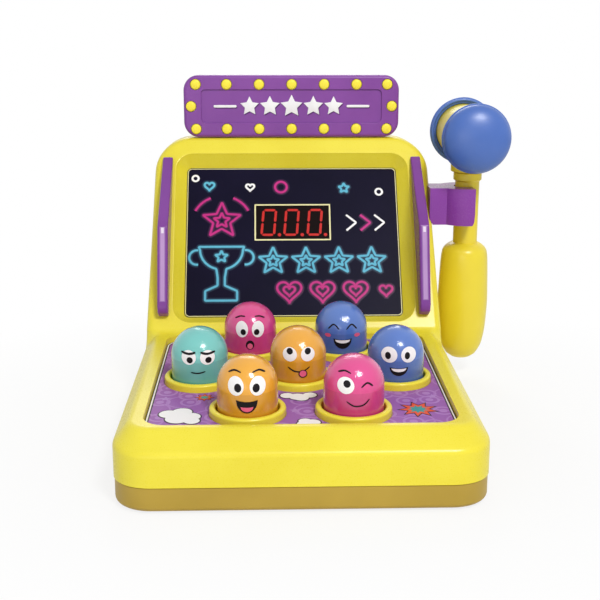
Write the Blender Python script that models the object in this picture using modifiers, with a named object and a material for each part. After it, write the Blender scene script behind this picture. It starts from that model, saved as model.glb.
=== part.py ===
"""A tabletop mole pounding game for Blender 4.5.

A sloping deck holds seven sprung moles in raised collars. Behind it stands a screen face with two
fins and a bulb sign, and a toy hammer snaps into a clip on the right side.

X is to the right, Y to the back and Z up. The origin is on the table, under the middle of the
whole game with its hammer. Pieces of the deck are drawn in the deck's own plane, and pieces of the
screen face in the face's plane, each carried by an empty.
"""

import math

import bmesh
import bpy
from mathutils import Matrix, Vector

MM = 0.001

# Shared fits
GAP = 0.3 * MM
OVERRUN = 5 * MM
BITE = 1.0 * MM
WELD = 0.001 * MM
WALL = 2.5 * MM

# Moles and their collars
MOLE_RADIUS = 16.7 * MM
MOLE_STRAIGHT = 12.4 * MM
MOLE_WALL = 1.8 * MM
MOLE_TRAVEL = 8.0 * MM
MOLE_PITCH = 58.1 * MM
ROW_PITCH = 53.0 * MM
HOLE_CLEARANCE = 1.0 * MM
COLLAR_WALL = 3.4 * MM
COLLAR_HEIGHT = 4.4 * MM
COLLAR_ROUND = 1.3 * MM
FLANGE_REACH = 1.9 * MM
FLANGE_THICKNESS = 2.0 * MM

# Deck and base
DECK_TILT = math.radians(2.1)
RIM_HEIGHT = 46.0 * MM
SHEET_DROP = 3.8 * MM
SHEET_THICKNESS = 0.5 * MM
DECK_FLOOR = 2.2 * MM
RECESS_RADIUS = 12.5 * MM
SIDE_MARGIN = 5.2 * MM
FRONT_MARGIN = 4.6 * MM
BACK_MARGIN = 5.9 * MM
SIDE_LAND = 7.6 * MM
FRONT_LAND = 3.3 * MM
BACK_LAND = 3.9 * MM
SIDE_CHAMFER = 8.0 * MM
FRONT_CHAMFER = 13.7 * MM
CHAMFER_DROP = 9.4 * MM
CORNER_RADIUS = 21.7 * MM
RIM_RADIUS = 12.0 * MM
SEAM_HEIGHT = 14.7 * MM
WAIST_HEIGHT = 33.7 * MM
DRAFT = math.radians(1.36)

# Screen face and upright
FACE_LEAN = math.radians(33)
FACE_BOTTOM_LAND = 8.1 * MM
FACE_TOP_LAND = 13.3 * MM
FACE_CHAMFER = 3.0 * MM
FACE_EDGE = 3.0 * MM
TOP_EDGE = 1.6 * MM
FACE_CORNER = 26.0 * MM
FOOT_FILLET = 6.5 * MM
TOP_DEPTH = 24.0 * MM
COVER_DEPTH = 6.0 * MM
COVER_ROUND = 3.5 * MM
SCREEN_WIDTH = 149.6 * MM
SCREEN_HEIGHT = 112.8 * MM
SCREEN_DROP = 8.7 * MM
SCREEN_RADIUS = 3.5 * MM
SLOPE_SIDE = 6.9 * MM
SLOPE_TOP = 7.0 * MM
SLOPE_BOTTOM = 6.1 * MM
LIP_RADIUS = 12.0 * MM
PANEL_THICKNESS = 1.5 * MM
WINDOW_WIDTH = 53.4 * MM
WINDOW_HEIGHT = 27.5 * MM
WINDOW_RISE = 70.4 * MM
LENS_THICKNESS = 1.2 * MM
DISPLAY_WIDTH = 48.0 * MM
DISPLAY_HEIGHT = 24.0 * MM
DISPLAY_DEPTH = 9.0 * MM
BOARD_THICKNESS = 1.6 * MM
BOARD_WIDTH = 96.0 * MM
BOARD_HEIGHT = 60.0 * MM
POST_RADIUS = 3.0 * MM

# Fins
FIN_SPREAD = 84.0 * MM
FIN_THICKNESS = 8.0 * MM
FIN_FOOT = 11.6 * MM
FIN_LENGTH = 119.1 * MM
FIN_HEIGHT = 25.3 * MM
FIN_TOP_HEIGHT = 2.6 * MM
FIN_HEEL_HEIGHT = 11.0 * MM
FIN_TOE_HEIGHT = 7.0 * MM
FIN_PEAK_SHARE = 0.466
FIN_TOE_RUN = 4.0 * MM
FIN_EDGE = 1.2 * MM
FIN_TAB_LENGTH = 12.0 * MM
FIN_TAB_THICKNESS = 2.4 * MM
FIN_TAB_SHARES = (0.2, 0.8)

# Sign
SIGN_WIDTH = 153.7 * MM
SIGN_HEIGHT = 43.6 * MM
SIGN_RADIUS = 10.7 * MM
SIGN_SETBACK = 1.5 * MM
SIGN_DEPTH = 6.5 * MM
SIGN_BACK_THICKNESS = 2.0 * MM
SIGN_WALL = 2.2 * MM
SIGN_EDGE = 2.4 * MM
SIGN_EDGE_SHARE = 0.3
NAMEPLATE_WIDTH = 128.6 * MM
NAMEPLATE_HEIGHT = 23.4 * MM
NAMEPLATE_RADIUS = 3.2 * MM
NAMEPLATE_DROP = 0.8 * MM
BULB_RADIUS = 3.65 * MM
BULB_PROUD = 0.7 * MM
BULB_ROUND = 0.5 * MM
BULB_PITCH = 23.13 * MM
BULB_EDGE_MARGIN = 6.5 * MM
BULB_LOW_MARGIN = 5.9 * MM
BULB_SIDE_MARGIN = 5.2 * MM
BULB_CORNER_MARGIN = 8.7 * MM
BULB_PLATE = 1.6 * MM
SIGN_TAB_WIDTH = 14.0 * MM
SIGN_TAB_DROP = 7.0 * MM
SIGN_TAB_SPREAD = 50.0 * MM

# Hammer and its clip
SHAFT_RADIUS = 8.5 * MM
HAMMER_OUT = 24.2 * MM
HAMMER_DEPTH_BACK = 20.6 * MM
GRIP_RADIUS = 17.9 * MM
GRIP_BOTTOM = 13.9 * MM
GRIP_LENGTH = 85.7 * MM
NECK_RADIUS = 9.9 * MM
NECK_BOTTOM = 143.4 * MM
NECK_LENGTH = 6.4 * MM
HEAD_HEIGHT = 176.1 * MM
HEAD_RADIUS = 19.0 * MM
HEAD_SOCKET_RADIUS = 12.1 * MM
HEAD_SOCKET_LENGTH = 6.8 * MM
HEAD_FLANGE_RADIUS = 21.4 * MM
HEAD_FLANGE_THICKNESS = 3.0 * MM
HEAD_LENGTH = 80.0 * MM
CAP_RADIUS = 23.8 * MM
CAP_RIM_SPREAD = 50.0 * MM
CAP_BEAD = 3.2 * MM
CAP_BEAD_DEPTH = 0.8 * MM
CAP_WALL = 1.7 * MM
SPIGOT_RADIUS = 6.0 * MM
SPIGOT_LENGTH = 12.0 * MM
HANDLE_WALL = 2.2 * MM
GRIP_END_SHARE = 0.40
HAMMER_LEAN = math.radians(2.0)
CLIP_CLEARANCE = 0.9 * MM
CLIP_RADIUS = 21.5 * MM
CLIP_ARM_DEPTH = 28.0 * MM
CLIP_BOTTOM = 114.2 * MM
CLIP_HEIGHT = 25.7 * MM
CLIP_LIP = 2.4 * MM
CLIP_LIP_TAPER = 0.8 * MM
CLIP_LIP_SHARE = 0.35
CLIP_SKIN = 2.2 * MM
CLIP_TENON_WIDTH = 12.0 * MM
CLIP_TENON_HEIGHT = 20.0 * MM

# Works under the deck
SPRING_LENGTH = 13.0 * MM
SPRING_RADIUS = 7.8 * MM
SPRING_WIRE = 0.5 * MM
SPRING_TURNS = 4
PLUNGER_DISC = 2.0 * MM
STEM_RADIUS = 4.5 * MM
STEM_LENGTH = 13.4 * MM
SLEEVE_WALL = 1.5 * MM
SLEEVE_RISE = 4.5 * MM
GUIDE_THICKNESS = 2.0 * MM
GUIDE_MARGIN_X = 25.9 * MM
GUIDE_MARGIN_Y = 16.0 * MM
GUIDE_RADIUS = 8.0 * MM
GUIDE_POST_X = 76.0 * MM
GUIDE_POST_Y = 40.0 * MM
GUIDE_POST_RADIUS = 4.0 * MM
SWITCH_RADIUS = 4.0 * MM
SWITCH_HEIGHT = 2.2 * MM
SWITCH_PLAY = 0.4 * MM
BOARD_SETBACK = 5.5 * MM

# Tray, feet, batteries and speaker
TRAY_BOTTOM = 1.2 * MM
TRAY_FLOOR = 2.2 * MM
TRAY_ROUND = 1.5 * MM
TRAY_INSET = 0.5 * MM
TRAY_WALL = 2.4 * MM
TONGUE_RISE = 3.0 * MM
TONGUE_WALL = 1.4 * MM
TONGUE_STEP = 2.0 * MM
BACK_RADIUS = 6.0 * MM
FOOT_RADIUS = 7.0 * MM
FOOT_SINK = 1.0 * MM
FOOT_INSET = 19.0 * MM
SCREW_INSET_X = 16.0 * MM
SCREW_INSET_FRONT = 21.0 * MM
SCREW_INSET_BACK = 22.0 * MM
SCREW_RADIUS = 1.5 * MM
SCREW_HEAD_RADIUS = 3.0 * MM
SCREW_HEAD_HEIGHT = 1.8 * MM
SCREW_LENGTH = 12.0 * MM
BOSS_WALL = 2.2 * MM
BATTERY_RADIUS = 7.1 * MM
BATTERY_LENGTH = 50.5 * MM
BATTERY_NIPPLE = 2.7 * MM
BATTERY_COUNT = 3
BATTERY_PLAY = 0.6 * MM
BATTERY_BOX_WALL = 2.0 * MM
BATTERY_BOX_BEHIND = 22.0 * MM
DOOR_THICKNESS = 2.0 * MM
DOOR_LAP = 3.0 * MM
DOOR_TAB_WIDTH = 8.0 * MM
DOOR_TAB_REACH = 3.0 * MM
DOOR_TAB_SPREAD = 14.0 * MM
DOOR_EAR_RADIUS = 5.5 * MM
SPEAKER_RADIUS = 20.0 * MM
SPEAKER_HEIGHT = 12.0 * MM
SPEAKER_X = -66.0 * MM
GRILLE_SLOT = 2.6 * MM
GRILLE_PITCH = 5.6 * MM
GRILLE_COUNT = 5
GRILLE_RADIUS = 15.0 * MM
RIB_WALL = 1.6 * MM
RIB_HEIGHT = 5.0 * MM

# Power switch in the rear cover
SWITCH_X = -62.0 * MM
SWITCH_Z = 41.8 * MM
KNOB_WIDTH = 6.0 * MM
KNOB_HEIGHT = 4.4 * MM
KNOB_SINK = 0.4 * MM
KNOB_TRAVEL = 5.0 * MM
KNOB_SKIRT = 2.0 * MM
SWITCH_BODY_DEPTH = 6.0 * MM

# Facet counts
ARC_STEPS = 4
ROUND_SIDES = 20
SMALL_SIDES = 10

# Colours as linear values, with roughness
YELLOW = (0.86, 0.71, 0.06)
MUSTARD = (0.47, 0.32, 0.04)
PURPLE = (0.25, 0.08, 0.35)
BLUE = (0.08, 0.17, 0.50)
TEAL = (0.22, 0.60, 0.56)
ORANGE = (0.83, 0.43, 0.03)
PINK = (0.77, 0.08, 0.28)
NAVY = (0.010, 0.008, 0.024)
SMOKE = (0.05, 0.004, 0.004)
WHITE = (0.80, 0.80, 0.78)
BLACK = (0.03, 0.03, 0.03)
BOARD_GREEN = (0.03, 0.20, 0.07)
STEEL = (0.60, 0.60, 0.62)

# Sizes that follow from the ones above
HOLE_RADIUS = MOLE_RADIUS + HOLE_CLEARANCE
COLLAR_RADIUS = HOLE_RADIUS + COLLAR_WALL
RECESS_HALF = MOLE_PITCH + COLLAR_RADIUS + SIDE_MARGIN
RECESS_FRONT = ROW_PITCH + COLLAR_RADIUS + FRONT_MARGIN
RECESS_BACK = ROW_PITCH + COLLAR_RADIUS + BACK_MARGIN
RIM_FRONT = RECESS_FRONT + FRONT_LAND
FRONT_REACH = RIM_FRONT + FRONT_CHAMFER
HALF_WIDTH = RECESS_HALF + SIDE_LAND + SIDE_CHAMFER
FACE_START = RECESS_BACK + BACK_LAND
FACE_LENGTH = FACE_BOTTOM_LAND + SLOPE_BOTTOM + SCREEN_HEIGHT + SLOPE_TOP + FACE_TOP_LAND
SCREEN_START = FACE_BOTTOM_LAND + SLOPE_BOTTOM
TILT_SLOPE = math.tan(DECK_TILT)
FACE_START_Z = RIM_HEIGHT + TILT_SLOPE * FACE_START
FACE_TOP_Y = FACE_START + FACE_LENGTH * math.sin(FACE_LEAN)
FACE_TOP_Z = FACE_START_Z + FACE_LENGTH * math.cos(FACE_LEAN)
BACK_REACH = FACE_TOP_Y + TOP_DEPTH
COVER_SPLIT = BACK_REACH - COVER_DEPTH
SHELL_BOTTOM = SEAM_HEIGHT + GAP

GUIDE_WIDTH = 2 * (MOLE_PITCH + GUIDE_MARGIN_X)
GUIDE_DEPTH = 2 * (ROW_PITCH + GUIDE_MARGIN_Y)
SWITCH_BOARD_WIDTH = GUIDE_WIDTH - 2 * BOARD_SETBACK
SWITCH_BOARD_DEPTH = GUIDE_DEPTH - 2 * BOARD_SETBACK

RECESS_DEPTH = SHEET_DROP + SHEET_THICKNESS + GAP
DECK_UNDERSIDE = RECESS_DEPTH + DECK_FLOOR
COLLAR_TOP = COLLAR_HEIGHT - SHEET_DROP
FLANGE_TOP = DECK_UNDERSIDE + GAP
CAP_BOTTOM = FLANGE_TOP + FLANGE_THICKNESS
GUIDE_TOP = CAP_BOTTOM + SPRING_LENGTH
GUIDE_BOTTOM = GUIDE_TOP + GUIDE_THICKNESS
STEM_END = CAP_BOTTOM + STEM_LENGTH
SWITCH_TOP = STEM_END + MOLE_TRAVEL + SWITCH_PLAY
SWITCH_BOARD_TOP = SWITCH_TOP + SWITCH_HEIGHT
SWITCH_BOARD_BOTTOM = SWITCH_BOARD_TOP + BOARD_THICKNESS

SCREEN_FLOOR = SCREEN_DROP + PANEL_THICKNESS + GAP
SCREEN_UNDERSIDE = SCREEN_FLOOR + DECK_FLOOR
DISPLAY_FRONT = SCREEN_FLOOR
BOARD_FRONT = DISPLAY_FRONT + DISPLAY_DEPTH + GAP

SIGN_FRONT_Y = FACE_TOP_Y - SIGN_SETBACK
SIGN_BOTTOM = FACE_TOP_Z + GAP

HAMMER_X = HALF_WIDTH + HAMMER_OUT
HAMMER_Y = FACE_TOP_Y - HAMMER_DEPTH_BACK
CLIP_BORE = SHAFT_RADIUS + CLIP_CLEARANCE
CLIP_MIDDLE = CLIP_BOTTOM + CLIP_HEIGHT / 2
CAP_TIP = HEAD_LENGTH / 2
CAP_RIM = CAP_RIM_SPREAD / 2

FOOT_HEIGHT = TRAY_BOTTOM + FOOT_SINK
FLOOR_TOP = TRAY_BOTTOM + TRAY_FLOOR
BATTERY_PITCH = 2 * BATTERY_RADIUS + BATTERY_PLAY
BATTERY_HALF_X = (BATTERY_LENGTH + BATTERY_PLAY * 2) / 2
BATTERY_HALF_Y = BATTERY_COUNT * BATTERY_PITCH / 2
BATTERY_Y = FACE_START + BATTERY_BOX_BEHIND + BATTERY_HALF_Y
DOOR_TOP = TRAY_BOTTOM + DOOR_THICKNESS
BATTERY_Z = DOOR_TOP + GAP + BATTERY_RADIUS
BATTERY_CEILING = BATTERY_Z + BATTERY_RADIUS + GAP
SCREW_BOSS_RADIUS = SCREW_HEAD_RADIUS + BOSS_WALL

WHOLE_RIGHT = HAMMER_X + CAP_RADIUS
ORIGIN_SHIFT = Vector(((HALF_WIDTH - WHOLE_RIGHT) / 2, (FRONT_REACH - BACK_REACH) / 2, 0))

MOLES = (
    ("front_left", -MOLE_PITCH / 2, -ROW_PITCH, ORANGE),
    ("front_right", MOLE_PITCH / 2, -ROW_PITCH, PINK),
    ("middle_left", -MOLE_PITCH, 0, TEAL),
    ("middle_centre", 0, 0, ORANGE),
    ("middle_right", MOLE_PITCH, 0, BLUE),
    ("back_left", -MOLE_PITCH / 2, ROW_PITCH, PINK),
    ("back_right", MOLE_PITCH / 2, ROW_PITCH, BLUE),
)
MOLE_PLACES = [(x, y) for _, x, y, _ in MOLES]

# Stands a flat outline up, so that its X runs along Y, its Y along Z and its depth along X
EDGE_ON = Matrix(((0, 0, 1, 0), (1, 0, 0, 0), (0, 1, 0, 0), (0, 0, 0, 1)))


# Scene and collections


def clear_scene():
    for item in list(bpy.data.objects):
        bpy.data.objects.remove(item)


def new_collection(name):
    group = bpy.data.collections.new(name)
    bpy.context.scene.collection.children.link(group)
    return group


clear_scene()
PARTS = new_collection("mole_pounding_game")
CUTTERS = new_collection("cutters")


def add_frame(name, location, turn, parent=None):
    """An empty whose plane carries a group of pieces."""
    frame = bpy.data.objects.new(name, None)
    frame.location = location
    frame.rotation_euler = (turn, 0, 0)
    frame.parent = parent
    PARTS.objects.link(frame)
    return frame


WORLD = add_frame("game_frame", ORIGIN_SHIFT, 0)
DECK = add_frame("deck_frame", (0, 0, RIM_HEIGHT), DECK_TILT, WORLD)
FACE = add_frame("face_frame", (0, FACE_START, FACE_START_Z), math.pi / 2 - FACE_LEAN, WORLD)
SIGN = add_frame("sign_frame", (0, SIGN_FRONT_Y, SIGN_BOTTOM), math.pi / 2, WORLD)
CLIP = add_frame("clip_frame", (HAMMER_X, HAMMER_Y, 0), 0, WORLD)
HAMMER = add_frame("hammer_frame", (HAMMER_X, HAMMER_Y + CLIP_MIDDLE * math.sin(HAMMER_LEAN),
                                    CLIP_MIDDLE * (1 - math.cos(HAMMER_LEAN))), HAMMER_LEAN, WORLD)


def material(name, colour, roughness, metallic=0.0):
    finish = bpy.data.materials.new(name)
    finish.use_nodes = True
    shader = finish.node_tree.nodes["Principled BSDF"]
    shader.inputs["Base Color"].default_value = (*colour, 1.0)
    shader.inputs["Roughness"].default_value = roughness
    shader.inputs["Metallic"].default_value = metallic
    return finish


def as_part(shape, frame, colour, roughness=0.3, metallic=0.0):
    PARTS.objects.link(shape)
    shape.parent = frame
    shape.data.materials.append(material(shape.name, colour, roughness, metallic))
    return shape


def as_cutter(shape, frame):
    CUTTERS.objects.link(shape)
    shape.parent = frame
    shape.hide_render = True
    shape.display_type = "WIRE"
    return shape


# Outlines


def arc(centre_x, centre_y, radius, start, end, steps):
    """Points along an arc, both ends included, with angles in radians."""
    points = []
    for step in range(steps + 1):
        angle = start + (end - start) * step / steps
        points.append((centre_x + radius * math.cos(angle), centre_y + radius * math.sin(angle)))
    return points


def circle(radius, centre=(0, 0), sides=ROUND_SIDES):
    return arc(*centre, radius, 0, math.tau, sides)[:-1]


def rounded_rectangle(left, right, low, high, radius, steps=ARC_STEPS):
    quarter = math.pi / 2
    points = arc(right - radius, high - radius, radius, 0, quarter, steps)
    points += arc(left + radius, high - radius, radius, quarter, 2 * quarter, steps)
    points += arc(left + radius, low + radius, radius, 2 * quarter, 3 * quarter, steps)
    points += arc(right - radius, low + radius, radius, 3 * quarter, 4 * quarter, steps)
    return points


def base_outline(inset):
    """Plan of the base: wide round corners at the front, tight ones at the back."""
    half = HALF_WIDTH - inset
    front = -FRONT_REACH + inset
    back = BACK_REACH - inset
    front_radius = CORNER_RADIUS - inset
    back_radius = max(BACK_RADIUS - inset, BITE)
    quarter = math.pi / 2
    points = arc(half - back_radius, back - back_radius, back_radius, 0, quarter, ARC_STEPS)
    points += arc(-half + back_radius, back - back_radius, back_radius, quarter, 2 * quarter, ARC_STEPS)
    points += arc(-half + front_radius, front + front_radius, front_radius, 2 * quarter, 3 * quarter,
                  ARC_STEPS)
    points += arc(half - front_radius, front + front_radius, front_radius, 3 * quarter, 4 * quarter,
                  ARC_STEPS)
    return points


# Solids


def mesh_object(name, shape):
    mesh = bpy.data.meshes.new(name)
    shape.to_mesh(mesh)
    shape.free()
    mesh.shade_smooth()
    mesh.set_sharp_from_angle(angle=math.radians(30))
    return bpy.data.objects.new(name, mesh)


def outline_solid(name, outlines, low, high):
    """Flat outlines drawn as a filled 2D curve, the inner ones as holes, and extruded in Z."""
    curve = bpy.data.curves.new(name, "CURVE")
    curve.dimensions = "2D"
    curve.fill_mode = "BOTH"
    curve.extrude = (high - low) / 2
    for outline in outlines:
        spline = curve.splines.new("POLY")
        spline.points.add(len(outline) - 1)
        for point, (x, y) in zip(spline.points, outline):
            point.co = (x, y, 0, 1)
        spline.use_cyclic_u = True
    drawn = bpy.data.objects.new(name, curve)
    bpy.context.scene.collection.objects.link(drawn)
    mesh = bpy.data.meshes.new_from_object(drawn.evaluated_get(bpy.context.evaluated_depsgraph_get()))
    bpy.data.objects.remove(drawn)
    shape = bmesh.new()
    shape.from_mesh(mesh)
    bmesh.ops.remove_doubles(shape, verts=shape.verts, dist=WELD)
    bmesh.ops.translate(shape, verts=shape.verts, vec=(0, 0, (low + high) / 2))
    bmesh.ops.recalc_face_normals(shape, faces=shape.faces)
    return mesh_object(name, shape)


def box(name, low, high):
    """A cube stretched between two corners."""
    shape = bmesh.new()
    bmesh.ops.create_cube(shape, size=1)
    size = Vector(high) - Vector(low)
    bmesh.ops.scale(shape, verts=shape.verts, vec=size)
    bmesh.ops.translate(shape, verts=shape.verts, vec=(Vector(high) + Vector(low)) / 2)
    return mesh_object(name, shape)


def loft(name, rings):
    """A closed skin over rings of points that each have the same count."""
    shape = bmesh.new()
    rows = [[shape.verts.new(point) for point in ring] for ring in rings]
    for lower, upper in zip(rows, rows[1:]):
        for index in range(len(lower)):
            shape.faces.new((lower[index - 1], lower[index], upper[index], upper[index - 1]))
    shape.faces.new(rows[0])
    shape.faces.new(rows[-1])
    bmesh.ops.recalc_face_normals(shape, faces=shape.faces)
    return mesh_object(name, shape)


def flat_ring(outline, height):
    return [(x, y, height) for x, y in outline]


def turned(name, profile, sides=ROUND_SIDES):
    """A profile of (radius, height) points, down its outer side, turned about Z."""
    shape = bmesh.new()
    points = [shape.verts.new((radius, 0, height)) for radius, height in profile]
    for first, second in zip(points, points[1:]):
        shape.edges.new((first, second))
    if profile[0][0] > 0:
        shape.edges.new((points[-1], points[0]))
    solid = mesh_object(name, shape)
    screw = solid.modifiers.new("turn", "SCREW")
    screw.steps = sides
    screw.render_steps = sides
    screw.use_merge_vertices = True
    screw.merge_threshold = WELD
    screw.use_smooth_shade = True
    return solid


def lay_along_y(shape):
    """Turns a shape drawn about Z so that it lies about Y, its top towards the front."""
    shape.data.transform(Matrix.Rotation(math.pi / 2, 4, "X"))
    return shape


def move(shape, offset):
    shape.data.transform(Matrix.Translation(offset))
    return shape


def boolean(target, tool, operation):
    step = target.modifiers.new(tool.name, "BOOLEAN")
    step.operation = operation
    step.solver = "EXACT"
    step.object = tool


def cut(target, tool, frame):
    boolean(target, as_cutter(tool, frame), "DIFFERENCE")


def join(target, tool, frame):
    boolean(target, as_cutter(tool, frame), "UNION")


def round_edges(shape, width, segments=2, angle=math.radians(40)):
    bevel = shape.modifiers.new("round", "BEVEL")
    bevel.width = width
    bevel.segments = segments
    bevel.limit_method = "ANGLE"
    bevel.angle_limit = angle
    return shape


# The one-piece housing


def half_width(height):
    """Half the housing's width, which narrows above the waist by the mould's draft."""
    return HALF_WIDTH - math.tan(DRAFT) * max(height - WAIST_HEIGHT, 0)


def housing_stations(inset):
    """Pairs of points along the right half of the housing's edge, from the front to the top.

    The first of a pair lies on the inner edge of the rounded rim, the second on its outer edge.
    The inset moves the whole skin inwards, for the hollow inside.
    """
    half_gain = inset / 2
    stations = []

    def rim(y):
        return RIM_HEIGHT + TILT_SLOPE * y - inset / math.cos(DECK_TILT)

    side_chamfer = SIDE_CHAMFER - half_gain
    drop = CHAMFER_DROP - half_gain
    rim_front = -RIM_FRONT + half_gain
    wall_front = -FRONT_REACH + inset
    outer_radius = CORNER_RADIUS - inset
    wall_top = rim(wall_front) - drop
    wall_half = half_width(wall_top) - inset
    rim_half = wall_half - side_chamfer
    stations.append(((0, rim_front, rim(rim_front)), (0, wall_front, wall_top)))
    for step in range(ARC_STEPS + 1):
        turn = math.pi / 2 * step / ARC_STEPS
        inner = (rim_half - RIM_RADIUS * (1 - math.sin(turn)),
                 rim_front + RIM_RADIUS * (1 - math.cos(turn)))
        outer = (wall_half - outer_radius * (1 - math.sin(turn)),
                 wall_front + outer_radius * (1 - math.cos(turn)))
        stations.append(((*inner, rim(inner[1])), (*outer, rim(outer[1]) - drop)))

    # Side view of the deck, the hollow fillet and the face
    rise = math.pi / 2 - FACE_LEAN
    bend = rise - DECK_TILT
    meet_share = math.tan(bend / 2)
    fillet = FOOT_FILLET + inset
    foot_y = FACE_START + inset * meet_share * math.cos(DECK_TILT) + inset * math.sin(DECK_TILT)
    foot_z = rim(foot_y)
    start_y = foot_y - fillet * meet_share * math.cos(DECK_TILT)
    centre = Vector((start_y - fillet * math.sin(DECK_TILT), rim(start_y) + fillet * math.cos(DECK_TILT)))
    for step in range(ARC_STEPS + 1):
        share = step / ARC_STEPS
        angle = DECK_TILT + bend * share
        into = Vector((math.sin(angle), -math.cos(angle)))
        point = centre + into * fillet
        sink = drop + (FACE_EDGE - drop) * share
        under = point + into * sink
        chamfer = side_chamfer + (FACE_CHAMFER - half_gain - side_chamfer) * share
        side = half_width(under.y) - inset
        stations.append(((side - chamfer, *point), (side, *under)))

    # Round the top corner to the middle of the top edge
    along = Vector((math.cos(rise), math.sin(rise)))
    into = Vector((math.sin(rise), -math.cos(rise)))
    foot = Vector((foot_y, foot_z))
    top_length = (FACE_TOP_Z - inset - foot_z) / along.y
    outer_radius = FACE_CORNER - inset
    inner_run = outer_radius - FACE_CHAMFER
    inner_rise = outer_radius - TOP_EDGE
    corner_height = (foot + along * (top_length - outer_radius)).y
    side = half_width(corner_height) - inset
    for step in range(ARC_STEPS + 1):
        turn = math.pi / 2 * step / ARC_STEPS
        edge = FACE_EDGE + (TOP_EDGE - FACE_EDGE) * step / ARC_STEPS
        inner_x = side - FACE_CHAMFER + half_gain - inner_run * (1 - math.cos(turn))
        inner = foot + along * (top_length - TOP_EDGE - inner_rise * (1 - math.sin(turn)))
        outer_x = side - outer_radius * (1 - math.cos(turn))
        backwards = into.lerp(Vector((1, 0)), step / ARC_STEPS).normalized()
        outer = foot + along * (top_length - outer_radius * (1 - math.sin(turn))) + backwards * edge
        stations.append(((inner_x, *inner), (outer_x, *outer)))
    stations.append(((0, *inner), (0, *outer)))
    return stations


def housing_form(name, inset, bottom, rear):
    """The housing's outer form, closed by flat faces at the bottom and at the rear."""
    stations = housing_stations(inset)
    corner_end = ARC_STEPS + 1
    top_start = len(stations) - ARC_STEPS - 2
    last = len(stations) - 1
    shape = bmesh.new()
    inner = [shape.verts.new(pair[0]) for pair in stations]
    outer = [shape.verts.new(pair[1]) for pair in stations]
    middle = [shape.verts.new((0, pair[0][1], pair[0][2])) for pair in stations]
    spread = half_width(bottom) - inset - stations[corner_end][1][0]
    foot = [shape.verts.new((x + spread if x > 0 else 0, y, bottom))
            for _, (x, y, z) in stations[:corner_end + 1]]
    back = [shape.verts.new((pair[1][0], rear, pair[1][2])) for pair in stations[top_start:]]
    side = foot[-1].co.x
    rear_foot = shape.verts.new((side, rear, bottom))
    rear_waist = shape.verts.new((side, rear, WAIST_HEIGHT))
    rear_middle = shape.verts.new((0, rear, bottom))
    for index in range(last):
        shape.faces.new((inner[index], outer[index], outer[index + 1], inner[index + 1]))
    for index in range(1, last - 1):
        shape.faces.new((middle[index], inner[index], inner[index + 1], middle[index + 1]))
    for index in range(corner_end):
        shape.faces.new((outer[index], foot[index], foot[index + 1], outer[index + 1]))
    for index in range(last - top_start):
        shape.faces.new((outer[top_start + index], back[index], back[index + 1],
                         outer[top_start + index + 1]))
    shape.faces.new((foot[-1], rear_foot, rear_waist, outer[corner_end]))
    shape.faces.new([rear_waist, back[0]] + outer[top_start:corner_end - 1:-1])
    shape.faces.new([rear_waist, rear_foot, rear_middle] + back[::-1])
    shape.faces.new([rear_foot] + foot[::-1] + [rear_middle])
    bmesh.ops.remove_doubles(shape, verts=shape.verts, dist=WELD)
    form = mesh_object(name, shape)
    mirror = form.modifiers.new("mirror", "MIRROR")
    mirror.merge_threshold = WELD
    return form


def rear_outline(inset, bottom):
    """Outline of the housing's rear edge as (x, z) points, right side first."""
    stations = housing_stations(inset)[-ARC_STEPS - 2:-1]
    side = half_width(bottom) - inset
    right = [(side, bottom), (side, WAIST_HEIGHT)] + [(pair[1][0], pair[1][2]) for pair in stations]
    return right + [(-x, z) for x, z in reversed(right)]


def screen_outline(grow, rise_low, rise_high, half, radius):
    low = rise_low - grow
    high = rise_high + grow
    return rounded_rectangle(-half - grow, half + grow, low, high, radius + grow)


def screen_rings(grow, depths):
    """Rings of the sloped screen recess, or of the wall round it when grown."""
    half = SCREEN_WIDTH / 2 + GAP
    low = SCREEN_START - GAP
    high = SCREEN_START + SCREEN_HEIGHT + GAP
    wide = screen_outline(grow, low - SLOPE_BOTTOM, high + SLOPE_TOP, half + SLOPE_SIDE, LIP_RADIUS)
    narrow = screen_outline(grow, low, high, half, SCREEN_RADIUS)
    outlines = (wide, wide, narrow, narrow)
    return [flat_ring(outline, -depth) for outline, depth in zip(outlines, depths)]


def add_screen_seat(housing):
    wall_rings = screen_rings(DECK_FLOOR, (BITE, BITE + GAP, SCREEN_DROP, SCREEN_UNDERSIDE))
    join(housing, loft("screen_seat_wall", wall_rings), FACE)
    posts = [circle(POST_RADIUS, (x, y), SMALL_SIDES) for x, y in board_posts()]
    join(housing, outline_solid("board_posts", posts, -BOARD_FRONT + GAP, -SCREEN_UNDERSIDE + BITE), FACE)
    cut(housing, loft("screen_recess", screen_rings(0, (-OVERRUN, 0, SCREEN_DROP, SCREEN_FLOOR))), FACE)
    window_low = SCREEN_START + WINDOW_RISE - DISPLAY_HEIGHT / 2 - GAP
    window = rounded_rectangle(-DISPLAY_WIDTH / 2 - GAP, DISPLAY_WIDTH / 2 + GAP, window_low,
                               window_low + DISPLAY_HEIGHT + 2 * GAP, BITE)
    cut(housing, outline_solid("display_opening", [window], -SCREEN_UNDERSIDE - OVERRUN,
                               -SCREEN_DROP), FACE)


def board_posts():
    middle = SCREEN_START + WINDOW_RISE
    spread_x = BOARD_WIDTH / 2 - 2 * POST_RADIUS
    spread_y = BOARD_HEIGHT / 2 - 2 * POST_RADIUS
    return [(x, middle + y) for x in (-spread_x, spread_x) for y in (-spread_y, spread_y)]


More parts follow.
